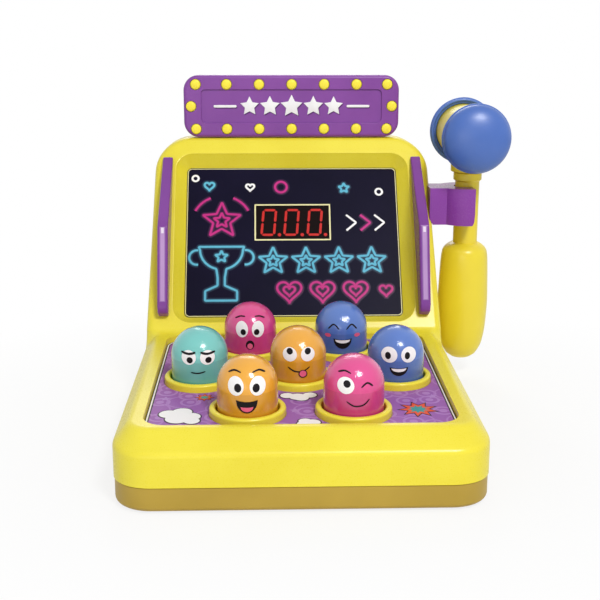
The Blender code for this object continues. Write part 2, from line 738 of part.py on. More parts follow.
def add_deck_seat(housing):
    seat = rounded_rectangle(-RECESS_HALF - DECK_FLOOR, RECESS_HALF + DECK_FLOOR,
                             -RECESS_FRONT - DECK_FLOOR / 2, RECESS_BACK + DECK_FLOOR / 2, RECESS_RADIUS)
    join(housing, outline_solid("deck_seat_wall", [seat], -DECK_UNDERSIDE, -WALL + BITE), DECK)
    posts = [circle(GUIDE_POST_RADIUS, place, SMALL_SIDES) for place in guide_posts()]
    join(housing, outline_solid("guide_posts", posts, -GUIDE_TOP + GAP, -DECK_UNDERSIDE + BITE), DECK)
    recess = rounded_rectangle(-RECESS_HALF, RECESS_HALF, -RECESS_FRONT, RECESS_BACK, RECESS_RADIUS)
    cut(housing, outline_solid("deck_recess", [recess], -RECESS_DEPTH, OVERRUN), DECK)
    rims = [circle(COLLAR_RADIUS, place) for place in MOLE_PLACES]
    collars = outline_solid("collars", rims, -RECESS_DEPTH - BITE, COLLAR_TOP)
    join(housing, round_edges(collars, COLLAR_ROUND, 1), DECK)
    holes = [circle(HOLE_RADIUS, place) for place in MOLE_PLACES]
    cut(housing, outline_solid("mole_holes", holes, -DECK_UNDERSIDE - OVERRUN, OVERRUN), DECK)


def guide_posts():
    return [(x, y) for x in (-GUIDE_POST_X, GUIDE_POST_X) for y in (-GUIDE_POST_Y, GUIDE_POST_Y)]


def tray_screws():
    """Places of the four screws that hold the tray to the housing."""
    x = HALF_WIDTH - SCREW_INSET_X
    front = -FRONT_REACH + SCREW_INSET_FRONT
    back = BACK_REACH - SCREW_INSET_BACK
    return [(-x, front), (x, front), (-x, back), (x, back)]


def add_screw_bosses(housing):
    """Posts that reach down to the tray: short under the deck, with a wall rib at the back."""
    low = FLOOR_TOP + SCREW_LENGTH / 2 + GAP
    for index, (x, y) in enumerate(tray_screws()):
        high = RIM_HEIGHT + TILT_SLOPE * y - DECK_UNDERSIDE + BITE
        radius = SCREW_RADIUS + BOSS_WALL
        post = outline_solid(f"tray_post_{index}", [circle(radius, (x, y), SMALL_SIDES)], low, high)
        join(housing, post, WORLD)
        if y > 0:
            outward = math.copysign(1, x)
            ends = sorted((x, outward * (HALF_WIDTH - WALL / 2)))
            rib = box(f"tray_post_rib_{index}", (ends[0], y - WALL / 2, SEAM_HEIGHT + TONGUE_RISE + WALL),
                      (ends[1], y + WALL / 2, high - BITE))
            join(housing, rib, WORLD)
    pilots = [circle(SCREW_RADIUS + GAP, place, SMALL_SIDES) for place in tray_screws()]
    cut(housing, outline_solid("tray_pilots", pilots, 0, FLOOR_TOP + SCREW_LENGTH + 2 * GAP), WORLD)


def upper_housing():
    housing = as_part(housing_form("upper_housing", 0, SHELL_BOTTOM, COVER_SPLIT), WORLD, YELLOW)
    cut(housing, housing_form("housing_hollow", WALL, -OVERRUN, COVER_SPLIT + OVERRUN), WORLD)
    add_deck_seat(housing)
    add_screen_seat(housing)
    add_screw_bosses(housing)
    for name, side in (("left", -1), ("right", 1)):
        for index, tab in enumerate(fin_tabs(side, GAP)):
            cut(housing, box(f"{name}_fin_slot_{index}", *tab), FACE)
    for index, side in enumerate((-1, 1)):
        cut(housing, box(f"sign_slot_{index}", *sign_tab(side, GAP)), SIGN)
    cut(housing, box("clip_slot", *clip_tenon(GAP)), CLIP)
    return housing


def rear_cover():
    """A shallow dish over the back of the upright, open below where the tray closes it."""
    low = SHELL_BOTTOM
    front = COVER_SPLIT + GAP
    rings = []
    for inset, y in ((0, front), (0, BACK_REACH - COVER_ROUND),
                     (COVER_ROUND * (1 - math.cos(math.pi / 4)), BACK_REACH - COVER_ROUND
                      * (1 - math.sin(math.pi / 4))), (COVER_ROUND, BACK_REACH)):
        rings.append([(x, y, z) for x, z in rear_outline(inset, low)])
    cover = as_part(loft("rear_cover", rings), WORLD, YELLOW)
    hollow = [[(x, y, z) for x, z in rear_outline(TRAY_WALL, -OVERRUN)]
              for y in (COVER_SPLIT - OVERRUN, BACK_REACH - TRAY_WALL)]
    cut(cover, loft("cover_hollow", hollow), WORLD)
    slot_half = (KNOB_WIDTH + KNOB_TRAVEL) / 2 + GAP
    slot_height = KNOB_HEIGHT / 2 + GAP
    cut(cover, box("knob_slot", (SWITCH_X - slot_half, BACK_REACH - COVER_DEPTH, SWITCH_Z - slot_height),
                   (SWITCH_X + slot_half, BACK_REACH + OVERRUN, SWITCH_Z + slot_height)), WORLD)
    return cover


def base_tray():
    rings = []
    for inset, height in ((TRAY_ROUND, TRAY_BOTTOM),
                          (TRAY_ROUND * (1 - math.sin(math.pi / 4)),
                           TRAY_BOTTOM + TRAY_ROUND * (1 - math.cos(math.pi / 4))),
                          (0, TRAY_BOTTOM + TRAY_ROUND), (0, SEAM_HEIGHT)):
        rings.append(flat_ring(base_outline(TRAY_INSET + inset), height))
    tongue = WALL + GAP
    rings.append(flat_ring(base_outline(tongue), SEAM_HEIGHT))
    rings.append(flat_ring(base_outline(tongue), SEAM_HEIGHT + TONGUE_RISE))
    tray = as_part(loft("base_tray", rings), WORLD, MUSTARD, 0.4)
    step_low = SEAM_HEIGHT - 2 * TONGUE_STEP
    side = TRAY_INSET + TRAY_WALL
    hollow = [flat_ring(base_outline(inset), height) for inset, height in
              ((side, FLOOR_TOP), (side, step_low), (tongue + TONGUE_WALL, SEAM_HEIGHT - TONGUE_STEP),
               (tongue + TONGUE_WALL, SEAM_HEIGHT + TONGUE_RISE + OVERRUN))]
    cut(tray, loft("tray_hollow", hollow), WORLD)
    add_battery_box(tray)
    add_tray_bosses(tray)
    add_speaker_seat(tray)
    feet = [circle(FOOT_RADIUS + GAP, place, SMALL_SIDES) for place in foot_places()]
    cut(tray, outline_solid("foot_seats", feet, -OVERRUN, TRAY_BOTTOM + FOOT_SINK + GAP), WORLD)
    return tray


def battery_rectangle(grow):
    return rounded_rectangle(-BATTERY_HALF_X - grow, BATTERY_HALF_X + grow, BATTERY_Y - BATTERY_HALF_Y - grow,
                             BATTERY_Y + BATTERY_HALF_Y + grow, BITE + grow)


def door_outline(grow):
    """The door overlaps the box all round and has an ear for its screw at the back."""
    return battery_rectangle(DOOR_LAP + grow)


def door_screw():
    return (0, BATTERY_Y + BATTERY_HALF_Y + DOOR_LAP + DOOR_EAR_RADIUS / 2)


def add_battery_box(tray):
    walls = outline_solid("battery_walls", [battery_rectangle(BATTERY_BOX_WALL)], FLOOR_TOP - BITE,
                          BATTERY_CEILING + BATTERY_BOX_WALL)
    join(tray, walls, WORLD)
    rim_width = DOOR_LAP + DOOR_TAB_REACH + DOOR_THICKNESS + BATTERY_BOX_WALL
    rim = outline_solid("door_rim", [battery_rectangle(rim_width)], FLOOR_TOP - BITE,
                        DOOR_TOP + BATTERY_BOX_WALL + GAP)
    join(tray, rim, WORLD)
    ear = outline_solid("door_screw_post", [circle(DOOR_EAR_RADIUS + BATTERY_BOX_WALL, door_screw(),
                                                   SMALL_SIDES)], FLOOR_TOP - BITE, FLOOR_TOP + SCREW_LENGTH)
    join(tray, ear, WORLD)
    cut(tray, outline_solid("battery_space", [battery_rectangle(0)], -OVERRUN, BATTERY_CEILING), WORLD)
    cut(tray, outline_solid("door_seat", [door_outline(GAP)], -OVERRUN, DOOR_TOP + GAP), WORLD)
    cut(tray, outline_solid("door_ear_seat", [circle(DOOR_EAR_RADIUS + GAP, door_screw(), SMALL_SIDES)],
                            -OVERRUN, DOOR_TOP + GAP), WORLD)
    cut(tray, outline_solid("door_pilot", [circle(SCREW_RADIUS + GAP, door_screw(), SMALL_SIDES)],
                            -OVERRUN, FLOOR_TOP + SCREW_LENGTH - BITE), WORLD)
    for side in (-1, 1):
        cut(tray, box(f"door_notch_{side + 1}", *door_notch(side)), WORLD)


def door_hinge():
    """The line on which the door's two knuckles lie, as (y, z)."""
    return BATTERY_Y - BATTERY_HALF_Y - DOOR_LAP - DOOR_TAB_REACH, TRAY_BOTTOM + DOOR_THICKNESS / 2


def door_knuckle(name, side):
    """A round-ended tab that reaches from the door's front edge to the hinge line."""
    y, z = door_hinge()
    quarter = math.pi / 2
    outline = arc(y, z, DOOR_THICKNESS / 2, quarter, 3 * quarter, ARC_STEPS)
    reach = y + DOOR_TAB_REACH + BITE
    outline += [(reach, z - DOOR_THICKNESS / 2), (reach, z + DOOR_THICKNESS / 2)]
    x = side * DOOR_TAB_SPREAD
    knuckle = outline_solid(name, [outline], -DOOR_TAB_WIDTH / 2, DOOR_TAB_WIDTH / 2)
    knuckle.data.transform(EDGE_ON)
    return move(knuckle, (x, 0, 0))


def door_notch(side):
    """Corners of the notch for one knuckle, open below."""
    y, z = door_hinge()
    x = side * DOOR_TAB_SPREAD
    reach = DOOR_THICKNESS / 2 + GAP
    half = DOOR_TAB_WIDTH / 2 + GAP
    return (x - half, y - reach, -OVERRUN), (x + half, y + DOOR_TAB_REACH + BITE, z + reach)


def add_tray_bosses(tray):
    for index, place in enumerate(tray_screws()):
        boss = outline_solid(f"tray_boss_{index}", [circle(SCREW_BOSS_RADIUS, place, SMALL_SIDES)],
                             FLOOR_TOP - BITE, FLOOR_TOP + SCREW_LENGTH / 2)
        join(tray, boss, WORLD)
    heads = [circle(SCREW_HEAD_RADIUS + GAP, place, SMALL_SIDES) for place in tray_screws()]
    shanks = [circle(SCREW_RADIUS + GAP, place, SMALL_SIDES) for place in tray_screws()]
    cut(tray, outline_solid("screw_head_seats", heads, -OVERRUN, FLOOR_TOP + GAP), WORLD)
    cut(tray, outline_solid("screw_shank_holes", shanks, 0, FLOOR_TOP + SCREW_LENGTH + OVERRUN), WORLD)


def add_speaker_seat(tray):
    place = (SPEAKER_X, BATTERY_Y)
    ring = [circle(SPEAKER_RADIUS + GAP + RIB_WALL, place), circle(SPEAKER_RADIUS + GAP, place)]
    join(tray, outline_solid("speaker_rib", ring, FLOOR_TOP - BITE, FLOOR_TOP + RIB_HEIGHT), WORLD)
    for index in range(GRILLE_COUNT):
        offset = (index - (GRILLE_COUNT - 1) / 2) * GRILLE_PITCH
        reach = math.sqrt(GRILLE_RADIUS ** 2 - offset ** 2)
        slot = rounded_rectangle(SPEAKER_X - reach, SPEAKER_X + reach, BATTERY_Y + offset - GRILLE_SLOT / 2,
                                 BATTERY_Y + offset + GRILLE_SLOT / 2, GRILLE_SLOT / 3, 2)
        cut(tray, outline_solid(f"grille_slot_{index}", [slot], -OVERRUN, FLOOR_TOP + BITE), WORLD)


def foot_places():
    x = HALF_WIDTH - FOOT_INSET - SCREW_INSET_X
    front = -FRONT_REACH + FOOT_INSET
    back = BACK_REACH - FOOT_INSET
    return [(-x, front), (x, front), (-x, back), (x, back)]


# Deck pieces and moles


def deck_sheet():
    edge = GAP
    outline = rounded_rectangle(-RECESS_HALF + edge, RECESS_HALF - edge, -RECESS_FRONT + edge,
                                RECESS_BACK - edge, RECESS_RADIUS - edge)
    holes = [circle(COLLAR_RADIUS + GAP, place) for place in MOLE_PLACES]
    sheet = outline_solid("deck_sheet", [outline] + holes, -SHEET_DROP - SHEET_THICKNESS, -SHEET_DROP)
    return as_part(sheet, DECK, PURPLE, 0.35)


def mole_cap(name, colour):
    """A hollow dome with a flange that stops it under the deck."""
    straight_top = COLLAR_TOP + MOLE_STRAIGHT
    inner = MOLE_RADIUS - MOLE_WALL
    profile = [(0, straight_top + MOLE_RADIUS)]
    profile += [(MOLE_RADIUS * math.cos(a), straight_top + MOLE_RADIUS * math.sin(a)) for a in dome_angles(ARC_STEPS)]
    profile += [(MOLE_RADIUS, -FLANGE_TOP), (HOLE_RADIUS + FLANGE_REACH, -FLANGE_TOP),
                (HOLE_RADIUS + FLANGE_REACH, -CAP_BOTTOM), (inner, -CAP_BOTTOM)]
    profile += [(inner * math.cos(a), straight_top + inner * math.sin(a)) for a in reversed(dome_angles(2))]
    profile.append((0, straight_top + inner))
    return as_part(turned(f"{name}_mole_cap", profile), DECK, colour, 0.12)


def dome_angles(steps=ARC_STEPS):
    """Angles from just under a dome's pole down to its equator."""
    return [math.pi / 2 * (1 - (step + 1) / steps) for step in range(steps)]


def mole_plunger(name):
    """A cup that fits inside the cap, with a stem that slides in the guide sleeve."""
    rim = MOLE_RADIUS - MOLE_WALL - GAP
    top = -CAP_BOTTOM + FLANGE_THICKNESS + PLUNGER_DISC
    profile = [(0, top), (rim, top), (rim, -CAP_BOTTOM), (STEM_RADIUS, -CAP_BOTTOM),
               (STEM_RADIUS, -STEM_END), (0, -STEM_END)]
    return as_part(turned(f"{name}_mole_plunger", profile, SMALL_SIDES), DECK, WHITE, 0.5)


def mole_spring(name):
    """A coil between the guide plate and the plunger, with room for the wire at both ends."""
    curve = bpy.data.curves.new(f"{name}_mole_spring", "CURVE")
    curve.dimensions = "3D"
    curve.bevel_depth = SPRING_WIRE
    curve.bevel_resolution = 0
    curve.use_fill_caps = True
    points_a_turn = 6
    count = SPRING_TURNS * points_a_turn
    low = -GUIDE_TOP + SPRING_WIRE + GAP
    high = -CAP_BOTTOM - SPRING_WIRE - GAP
    spline = curve.splines.new("POLY")
    spline.points.add(count)
    for index, point in enumerate(spline.points):
        angle = math.tau * index / points_a_turn
        height = low + (high - low) * index / count
        point.co = (SPRING_RADIUS * math.cos(angle), SPRING_RADIUS * math.sin(angle), height, 1)
    drawn = bpy.data.objects.new(curve.name, curve)
    bpy.context.scene.collection.objects.link(drawn)
    mesh = bpy.data.meshes.new_from_object(drawn.evaluated_get(bpy.context.evaluated_depsgraph_get()))
    bpy.data.objects.remove(drawn)
    shape = bmesh.new()
    shape.from_mesh(mesh)
    bmesh.ops.remove_doubles(shape, verts=shape.verts, dist=WELD)
    return as_part(mesh_object(f"{name}_mole_spring", shape), DECK, STEEL, 0.3, 1.0)


def add_moles():
    for name, x, y, colour in MOLES:
        for piece in (mole_cap(name, colour), mole_plunger(name), mole_spring(name)):
            piece.location = (x, y, 0)


def guide_plate():
    """The plate whose sleeves keep the plungers straight, hung from posts under the deck."""
    outline = rounded_rectangle(-GUIDE_WIDTH / 2, GUIDE_WIDTH / 2, -GUIDE_DEPTH / 2, GUIDE_DEPTH / 2,
                                GUIDE_RADIUS)
    plate = as_part(outline_solid("guide_plate", [outline], -GUIDE_BOTTOM, -GUIDE_TOP), DECK, WHITE, 0.5)
    bore = STEM_RADIUS + GAP
    sleeves = [circle(bore + SLEEVE_WALL, place, SMALL_SIDES) for place in MOLE_PLACES]
    join(plate, outline_solid("sleeves", sleeves, -GUIDE_TOP - BITE, -GUIDE_TOP + SLEEVE_RISE), DECK)
    legs = [circle(POST_RADIUS, place, SMALL_SIDES) for place in guide_posts()]
    join(plate, outline_solid("guide_legs", legs, -SWITCH_BOARD_TOP + GAP, -GUIDE_BOTTOM + BITE), DECK)
    bores = [circle(bore, place, SMALL_SIDES) for place in MOLE_PLACES]
    cut(plate, outline_solid("sleeve_bores", bores, -GUIDE_BOTTOM - OVERRUN, -GUIDE_TOP + SLEEVE_RISE
                             + OVERRUN), DECK)
    return plate


def switch_board():
    """The board under the guide plate, with a round switch below each stem."""
    outline = rounded_rectangle(-SWITCH_BOARD_WIDTH / 2, SWITCH_BOARD_WIDTH / 2, -SWITCH_BOARD_DEPTH / 2,
                                SWITCH_BOARD_DEPTH / 2, BITE)
    board = outline_solid("switch_board", [outline], -SWITCH_BOARD_BOTTOM, -SWITCH_BOARD_TOP)
    as_part(board, DECK, BOARD_GREEN, 0.5)
    switches = [circle(SWITCH_RADIUS, place, SMALL_SIDES) for place in MOLE_PLACES]
    join(board, outline_solid("switches", switches, -SWITCH_BOARD_TOP - BITE / 2, -SWITCH_TOP), DECK)
    return board


# Screen, display and fins


def window_outline(grow):
    middle = SCREEN_START + WINDOW_RISE
    return rounded_rectangle(-WINDOW_WIDTH / 2 - grow, WINDOW_WIDTH / 2 + grow,
                             middle - WINDOW_HEIGHT / 2 - grow, middle + WINDOW_HEIGHT / 2 + grow, BITE, 2)


def screen_pieces():
    outline = rounded_rectangle(-SCREEN_WIDTH / 2, SCREEN_WIDTH / 2, SCREEN_START,
                                SCREEN_START + SCREEN_HEIGHT, SCREEN_RADIUS)
    panel = outline_solid("screen_panel", [outline, window_outline(0)], -SCREEN_DROP - PANEL_THICKNESS,
                          -SCREEN_DROP)
    as_part(panel, FACE, NAVY, 0.2)
    lens = outline_solid("display_lens", [window_outline(-GAP)], -SCREEN_DROP - PANEL_THICKNESS,
                         -SCREEN_DROP - PANEL_THICKNESS + LENS_THICKNESS)
    as_part(lens, FACE, SMOKE, 0.08)
    middle = SCREEN_START + WINDOW_RISE
    module = box("display_module", (-DISPLAY_WIDTH / 2, middle - DISPLAY_HEIGHT / 2,
                                    -DISPLAY_FRONT - DISPLAY_DEPTH),
                 (DISPLAY_WIDTH / 2, middle + DISPLAY_HEIGHT / 2, -DISPLAY_FRONT))
    as_part(module, FACE, BLACK, 0.5)
    board = rounded_rectangle(-BOARD_WIDTH / 2, BOARD_WIDTH / 2, middle - BOARD_HEIGHT / 2,
                              middle + BOARD_HEIGHT / 2, BITE)
    board = outline_solid("main_board", [board], -BOARD_FRONT - BOARD_THICKNESS, -BOARD_FRONT)
    as_part(board, FACE, BOARD_GREEN, 0.5)


def fin_tabs(side, grow):
    """Corners of a fin's two tabs, or of their slots when grown."""
    centre = side * (FIN_SPREAD + FIN_THICKNESS / 2)
    half = FIN_TAB_THICKNESS / 2 + grow
    tabs = []
    for share in FIN_TAB_SHARES:
        middle = FIN_FOOT + FIN_LENGTH * share
        run = FIN_TAB_LENGTH / 2 + grow
        tabs.append(((centre - half, middle - run, -WALL - grow), (centre + half, middle + run, BITE)))
    return tabs


def fin(name, side):
    """A side fin: low at the top, highest under the middle, with a blunt toe."""
    foot = FIN_FOOT
    outline = [(foot, GAP), (foot + FIN_LENGTH, GAP), (foot + FIN_LENGTH, FIN_TOP_HEIGHT),
               (foot + FIN_LENGTH * FIN_PEAK_SHARE, FIN_HEIGHT), (foot + FIN_TOE_RUN, FIN_HEEL_HEIGHT),
               (foot, FIN_TOE_HEIGHT)]
    plate = outline_solid(name, [outline], 0, FIN_THICKNESS)
    plate.data.transform(EDGE_ON)
    start = FIN_SPREAD if side > 0 else -FIN_SPREAD - FIN_THICKNESS
    move(plate, (start, 0, 0))
    as_part(round_edges(plate, FIN_EDGE), FACE, PURPLE, 0.25)
    for index, tab in enumerate(fin_tabs(side, 0)):
        join(plate, box(f"{name}_tab_{index}", *tab), FACE)
    return plate


# Sign


def bulb_places():
    """Seven bulbs above and below the nameplate and one at each end."""
    corner = SIGN_WIDTH / 2 - BULB_CORNER_MARGIN
    xs = [-corner, -2 * BULB_PITCH, -BULB_PITCH, 0, BULB_PITCH, 2 * BULB_PITCH, corner]
    places = [(x, y) for y in (BULB_LOW_MARGIN, SIGN_HEIGHT - BULB_EDGE_MARGIN) for x in xs]
    side = SIGN_WIDTH / 2 - BULB_SIDE_MARGIN
    return places + [(-side, SIGN_HEIGHT / 2), (side, SIGN_HEIGHT / 2)]


def sign_outline(inset):
    return rounded_rectangle(-SIGN_WIDTH / 2 + inset, SIGN_WIDTH / 2 - inset, inset, SIGN_HEIGHT - inset,
                             SIGN_RADIUS - inset)


def nameplate_outline():
    middle = SIGN_HEIGHT / 2
    return rounded_rectangle(-NAMEPLATE_WIDTH / 2, NAMEPLATE_WIDTH / 2, middle - NAMEPLATE_HEIGHT / 2,
                             middle + NAMEPLATE_HEIGHT / 2, NAMEPLATE_RADIUS)


def sign_tab(side, grow):
    """Corners of one tab under the sign's back, or of its slot when grown."""
    x = side * SIGN_TAB_SPREAD
    front = -SIGN_DEPTH - GAP
    low = (x - SIGN_TAB_WIDTH / 2 - grow, -SIGN_TAB_DROP - grow, front - SIGN_BACK_THICKNESS - grow)
    high = (x + SIGN_TAB_WIDTH / 2 + grow, SIGN_RADIUS, front + grow)
    return low, high


def sign_pieces():
    roll = SIGN_EDGE * SIGN_EDGE_SHARE
    rings = [flat_ring(sign_outline(0), -SIGN_DEPTH), flat_ring(sign_outline(0), -SIGN_EDGE),
             flat_ring(sign_outline(roll), -roll), flat_ring(sign_outline(SIGN_EDGE), 0)]
    front = as_part(loft("sign_front", rings), SIGN, PURPLE, 0.3)
    cut(front, outline_solid("nameplate_step", [nameplate_outline()], -NAMEPLATE_DROP, OVERRUN), SIGN)
    cut(front, outline_solid("sign_hollow", [sign_outline(SIGN_WALL)], -SIGN_DEPTH - OVERRUN,
                             -SIGN_WALL), SIGN)
    holes = [circle(BULB_RADIUS + GAP, place, SMALL_SIDES) for place in bulb_places()]
    cut(front, outline_solid("bulb_holes", holes, -SIGN_DEPTH - OVERRUN, OVERRUN), SIGN)
    plate_top = -SIGN_WALL - GAP
    plate = outline_solid("sign_bulbs", [sign_outline(SIGN_WALL + GAP)], plate_top - BULB_PLATE, plate_top)
    as_part(plate, SIGN, YELLOW, 0.3)
    studs = [circle(BULB_RADIUS, place, SMALL_SIDES) for place in bulb_places()]
    studs = outline_solid("bulb_studs", studs, plate_top - BITE, BULB_PROUD)
    join(plate, round_edges(studs, BULB_ROUND, 1), SIGN)
    back_top = -SIGN_DEPTH - GAP
    back = outline_solid("sign_back", [sign_outline(0)], back_top - SIGN_BACK_THICKNESS, back_top)
    as_part(back, SIGN, PURPLE, 0.35)
    spacer = outline_solid("sign_back_spacer", [sign_outline(SIGN_WALL + GAP),
                                                sign_outline(2 * SIGN_WALL + GAP)],
                           back_top - BITE, plate_top - BULB_PLATE - GAP)
    join(back, spacer, SIGN)
    for side in (-1, 1):
        join(back, box(f"sign_tab_{side + 1}", *sign_tab(side, 0)), SIGN)


# Hammer


def clip_outline(inset):
    """Plan of the clip: an arm, a thick round C, and straight lips for the shaft to leave by."""
    half_arm = CLIP_ARM_DEPTH / 2 - inset
    outer = CLIP_RADIUS - inset
    bore = CLIP_BORE + inset
    lip = CLIP_LIP - inset
    root = wall_gap(CLIP_BOTTOM) - HAMMER_X + inset
    quarter = math.pi / 2
    arm_turn = math.asin(half_arm / outer)
    lip_turn = math.asin(lip / outer)
    outline = [(root, -half_arm)]
    outline += arc(0, 0, outer, 2 * quarter + arm_turn, 3 * quarter + lip_turn, 2 * ARC_STEPS)
    outline += [(lip, -bore)]
    outline += arc(0, 0, bore, 3 * quarter, quarter, 3 * ARC_STEPS)
    outline += [(lip, bore)]
    outline += arc(0, 0, outer, quarter - lip_turn, 2 * quarter - arm_turn, 2 * ARC_STEPS)
    return outline + [(root, half_arm)]


def hammer_clip():
    """A clip whose open side faces away from the housing, hollow from below."""
    top = CLIP_BOTTOM + CLIP_HEIGHT
    clip = as_part(outline_solid("hammer_clip", [clip_outline(0)], CLIP_BOTTOM, top), CLIP, PURPLE, 0.3)
    pocket = outline_solid("clip_pocket", [clip_outline(CLIP_SKIN)], CLIP_BOTTOM - OVERRUN, top - CLIP_SKIN)
    cut(clip, pocket, CLIP)
    join(clip, box("clip_tenon", *clip_tenon(0)), CLIP)
    corner = [(CLIP_LIP - CLIP_SKIN, CLIP_BOTTOM - BITE), (CLIP_LIP + OVERRUN, CLIP_BOTTOM - BITE),
              (CLIP_LIP + OVERRUN, top), (CLIP_LIP, CLIP_BOTTOM + CLIP_HEIGHT * CLIP_LIP_SHARE),
              (CLIP_LIP - CLIP_LIP_TAPER, CLIP_BOTTOM + CLIP_SKIN)]
    reach = CLIP_RADIUS + OVERRUN
    cut(clip, lay_along_y(outline_solid("clip_lip_taper", [corner], -reach, reach)), CLIP)
    return clip


def wall_gap(height):
    """Where a piece starts that stands on the right wall at this height."""
    return half_width(height) + GAP


def clip_tenon(grow):
    """Corners of the tenon through the side wall, or of its slot when grown."""
    root = half_width(CLIP_BOTTOM) - HAMMER_X
    middle = CLIP_BOTTOM + CLIP_HEIGHT / 2
    low = (root - WALL - BITE - grow, -CLIP_TENON_WIDTH / 2 - grow, middle - CLIP_TENON_HEIGHT / 2 - grow)
    high = (root + GAP + CLIP_SKIN, CLIP_TENON_WIDTH / 2 + grow, middle + CLIP_TENON_HEIGHT / 2 + grow)
    return low, high


def grip_profile(inset):
    """The grip from its shoulder down: a long barrel that closes in at the bottom."""
    shares = ((0.97, 0.60), (0.92, 0.83), (0.80, 0.92), (0.62, 0.98), (0.48, 1.0), (0.30, 0.955),
              (0.19, 0.86), (0.10, 0.69))
    return [(GRIP_RADIUS * wide - inset, GRIP_BOTTOM + GRIP_LENGTH * up) for up, wide in shares]


def hammer_handle():
    """A hollow moulding, open at the top of the spigot inside the head."""
    top = NECK_BOTTOM + NECK_LENGTH
    ease = NECK_RADIUS - SHAFT_RADIUS
    bore = SPIGOT_RADIUS - HANDLE_WALL
    profile = [(SPIGOT_RADIUS, top + SPIGOT_LENGTH), (SPIGOT_RADIUS, top), (NECK_RADIUS, top),
               (NECK_RADIUS, NECK_BOTTOM + ease), (SHAFT_RADIUS, NECK_BOTTOM),
               (SHAFT_RADIUS, GRIP_BOTTOM + GRIP_LENGTH)]
    profile += grip_profile(0)
    profile += [(GRIP_RADIUS * GRIP_END_SHARE, GRIP_BOTTOM), (0, GRIP_BOTTOM)]
    profile += [(0, GRIP_BOTTOM + HANDLE_WALL)] + grip_profile(HANDLE_WALL)[::-1]
    profile += [(SHAFT_RADIUS - HANDLE_WALL, GRIP_BOTTOM + GRIP_LENGTH),
                (SHAFT_RADIUS - HANDLE_WALL, NECK_BOTTOM), (bore, top), (bore, top + SPIGOT_LENGTH)]
    return as_part(turned("hammer_handle", profile), HAMMER, YELLOW, 0.25)


def hammer_head():
    """A tube with a flange at each end for its cap, and a socket for the handle."""
    core_half = CAP_RIM + CAP_BEAD + HEAD_FLANGE_THICKNESS
    flange = core_half - HEAD_FLANGE_THICKNESS
    inner = HEAD_RADIUS - WALL
    profile = [(inner, core_half), (HEAD_FLANGE_RADIUS, core_half), (HEAD_FLANGE_RADIUS, flange),
               (HEAD_RADIUS, flange), (HEAD_RADIUS, -flange), (HEAD_FLANGE_RADIUS, -flange),
               (HEAD_FLANGE_RADIUS, -core_half), (inner, -core_half)]
    head = as_part(turned("hammer_head", profile), HAMMER, YELLOW, 0.25)
    head.rotation_euler = (math.pi / 2, 0, 0)
    head.location = (0, 0, HEAD_HEIGHT)
    socket_low = HEAD_HEIGHT - HEAD_RADIUS - HEAD_SOCKET_LENGTH
    socket_high = NECK_BOTTOM + NECK_LENGTH + SPIGOT_LENGTH - BITE
    socket = outline_solid("head_socket", [circle(HEAD_SOCKET_RADIUS)], socket_low, socket_high)
    join(head, socket, HAMMER)
    bore = outline_solid("spigot_bore", [circle(SPIGOT_RADIUS + GAP)], socket_low - OVERRUN,
                         socket_high + OVERRUN)
    cut(head, bore, HAMMER)


def hammer_pieces():
    hammer_handle()
    hammer_head()
    for name, turn in (("hammer_cap_front", math.pi / 2), ("hammer_cap_rear", -math.pi / 2)):
        cap = as_part(turned(name, cap_profile()), HAMMER, BLUE, 0.3)
        cap.rotation_euler = (turn, 0, 0)
        cap.location = (0, 0, HEAD_HEIGHT)


def cap_profile():
    """A hollow dome with a beaded rim, drawn upwards from the head's middle."""
    base = CAP_RIM + CAP_BEAD
    rise = CAP_TIP - base
    side = CAP_RADIUS - CAP_BEAD_DEPTH
    profile = [(0, CAP_TIP)]
    profile += [(side * math.cos(a), base + rise * math.sin(a)) for a in dome_angles(ARC_STEPS)]
    profile += [(CAP_RADIUS, base - CAP_BEAD_DEPTH), (CAP_RADIUS, CAP_RIM + CAP_BEAD_DEPTH),
                (side, CAP_RIM)]
    inner = side - CAP_WALL
    ceiling = CAP_TIP - CAP_WALL
    low = base + HEAD_FLANGE_THICKNESS + GAP
    profile += [(HEAD_RADIUS + GAP, CAP_RIM), (HEAD_RADIUS + GAP, base - GAP),
                (HEAD_FLANGE_RADIUS + GAP, base - GAP), (HEAD_FLANGE_RADIUS + GAP, low)]
    limit = math.acos((HEAD_FLANGE_RADIUS - BITE) / inner)
    for step in range(1, ARC_STEPS):
        angle = limit + (math.pi / 2 - limit) * step / ARC_STEPS
        profile.append((inner * math.cos(angle), low + (ceiling - low) * math.sin(angle)))
    profile.append((0, ceiling))
    return profile


# Tray pieces


def tray_pieces():
    for index, (x, y) in enumerate(foot_places()):
        foot = outline_solid(f"foot_{index + 1}", [circle(FOOT_RADIUS, (0, 0), SMALL_SIDES)], 0, FOOT_HEIGHT)
        as_part(foot, WORLD, BLACK, 0.8).location = (x, y, 0)
    for index, (x, y) in enumerate(tray_screws()):
        as_part(screw(f"tray_screw_{index + 1}"), WORLD, STEEL, 0.3, 1.0).location = (x, y, FLOOR_TOP)
    speaker = turned("speaker", speaker_profile())
    as_part(speaker, WORLD, BLACK, 0.5).location = (SPEAKER_X, BATTERY_Y, FLOOR_TOP + GAP)
    for index in range(BATTERY_COUNT):
        battery = as_part(turned(f"battery_{index + 1}", battery_profile(), SMALL_SIDES), WORLD, BLACK, 0.4)
        offset = (index - (BATTERY_COUNT - 1) / 2) * BATTERY_PITCH
        facing = 1 if index % 2 == 0 else -1
        battery.rotation_euler = (0, facing * math.pi / 2, 0)
        battery.location = (0, BATTERY_Y + offset, BATTERY_Z)
    battery_door()


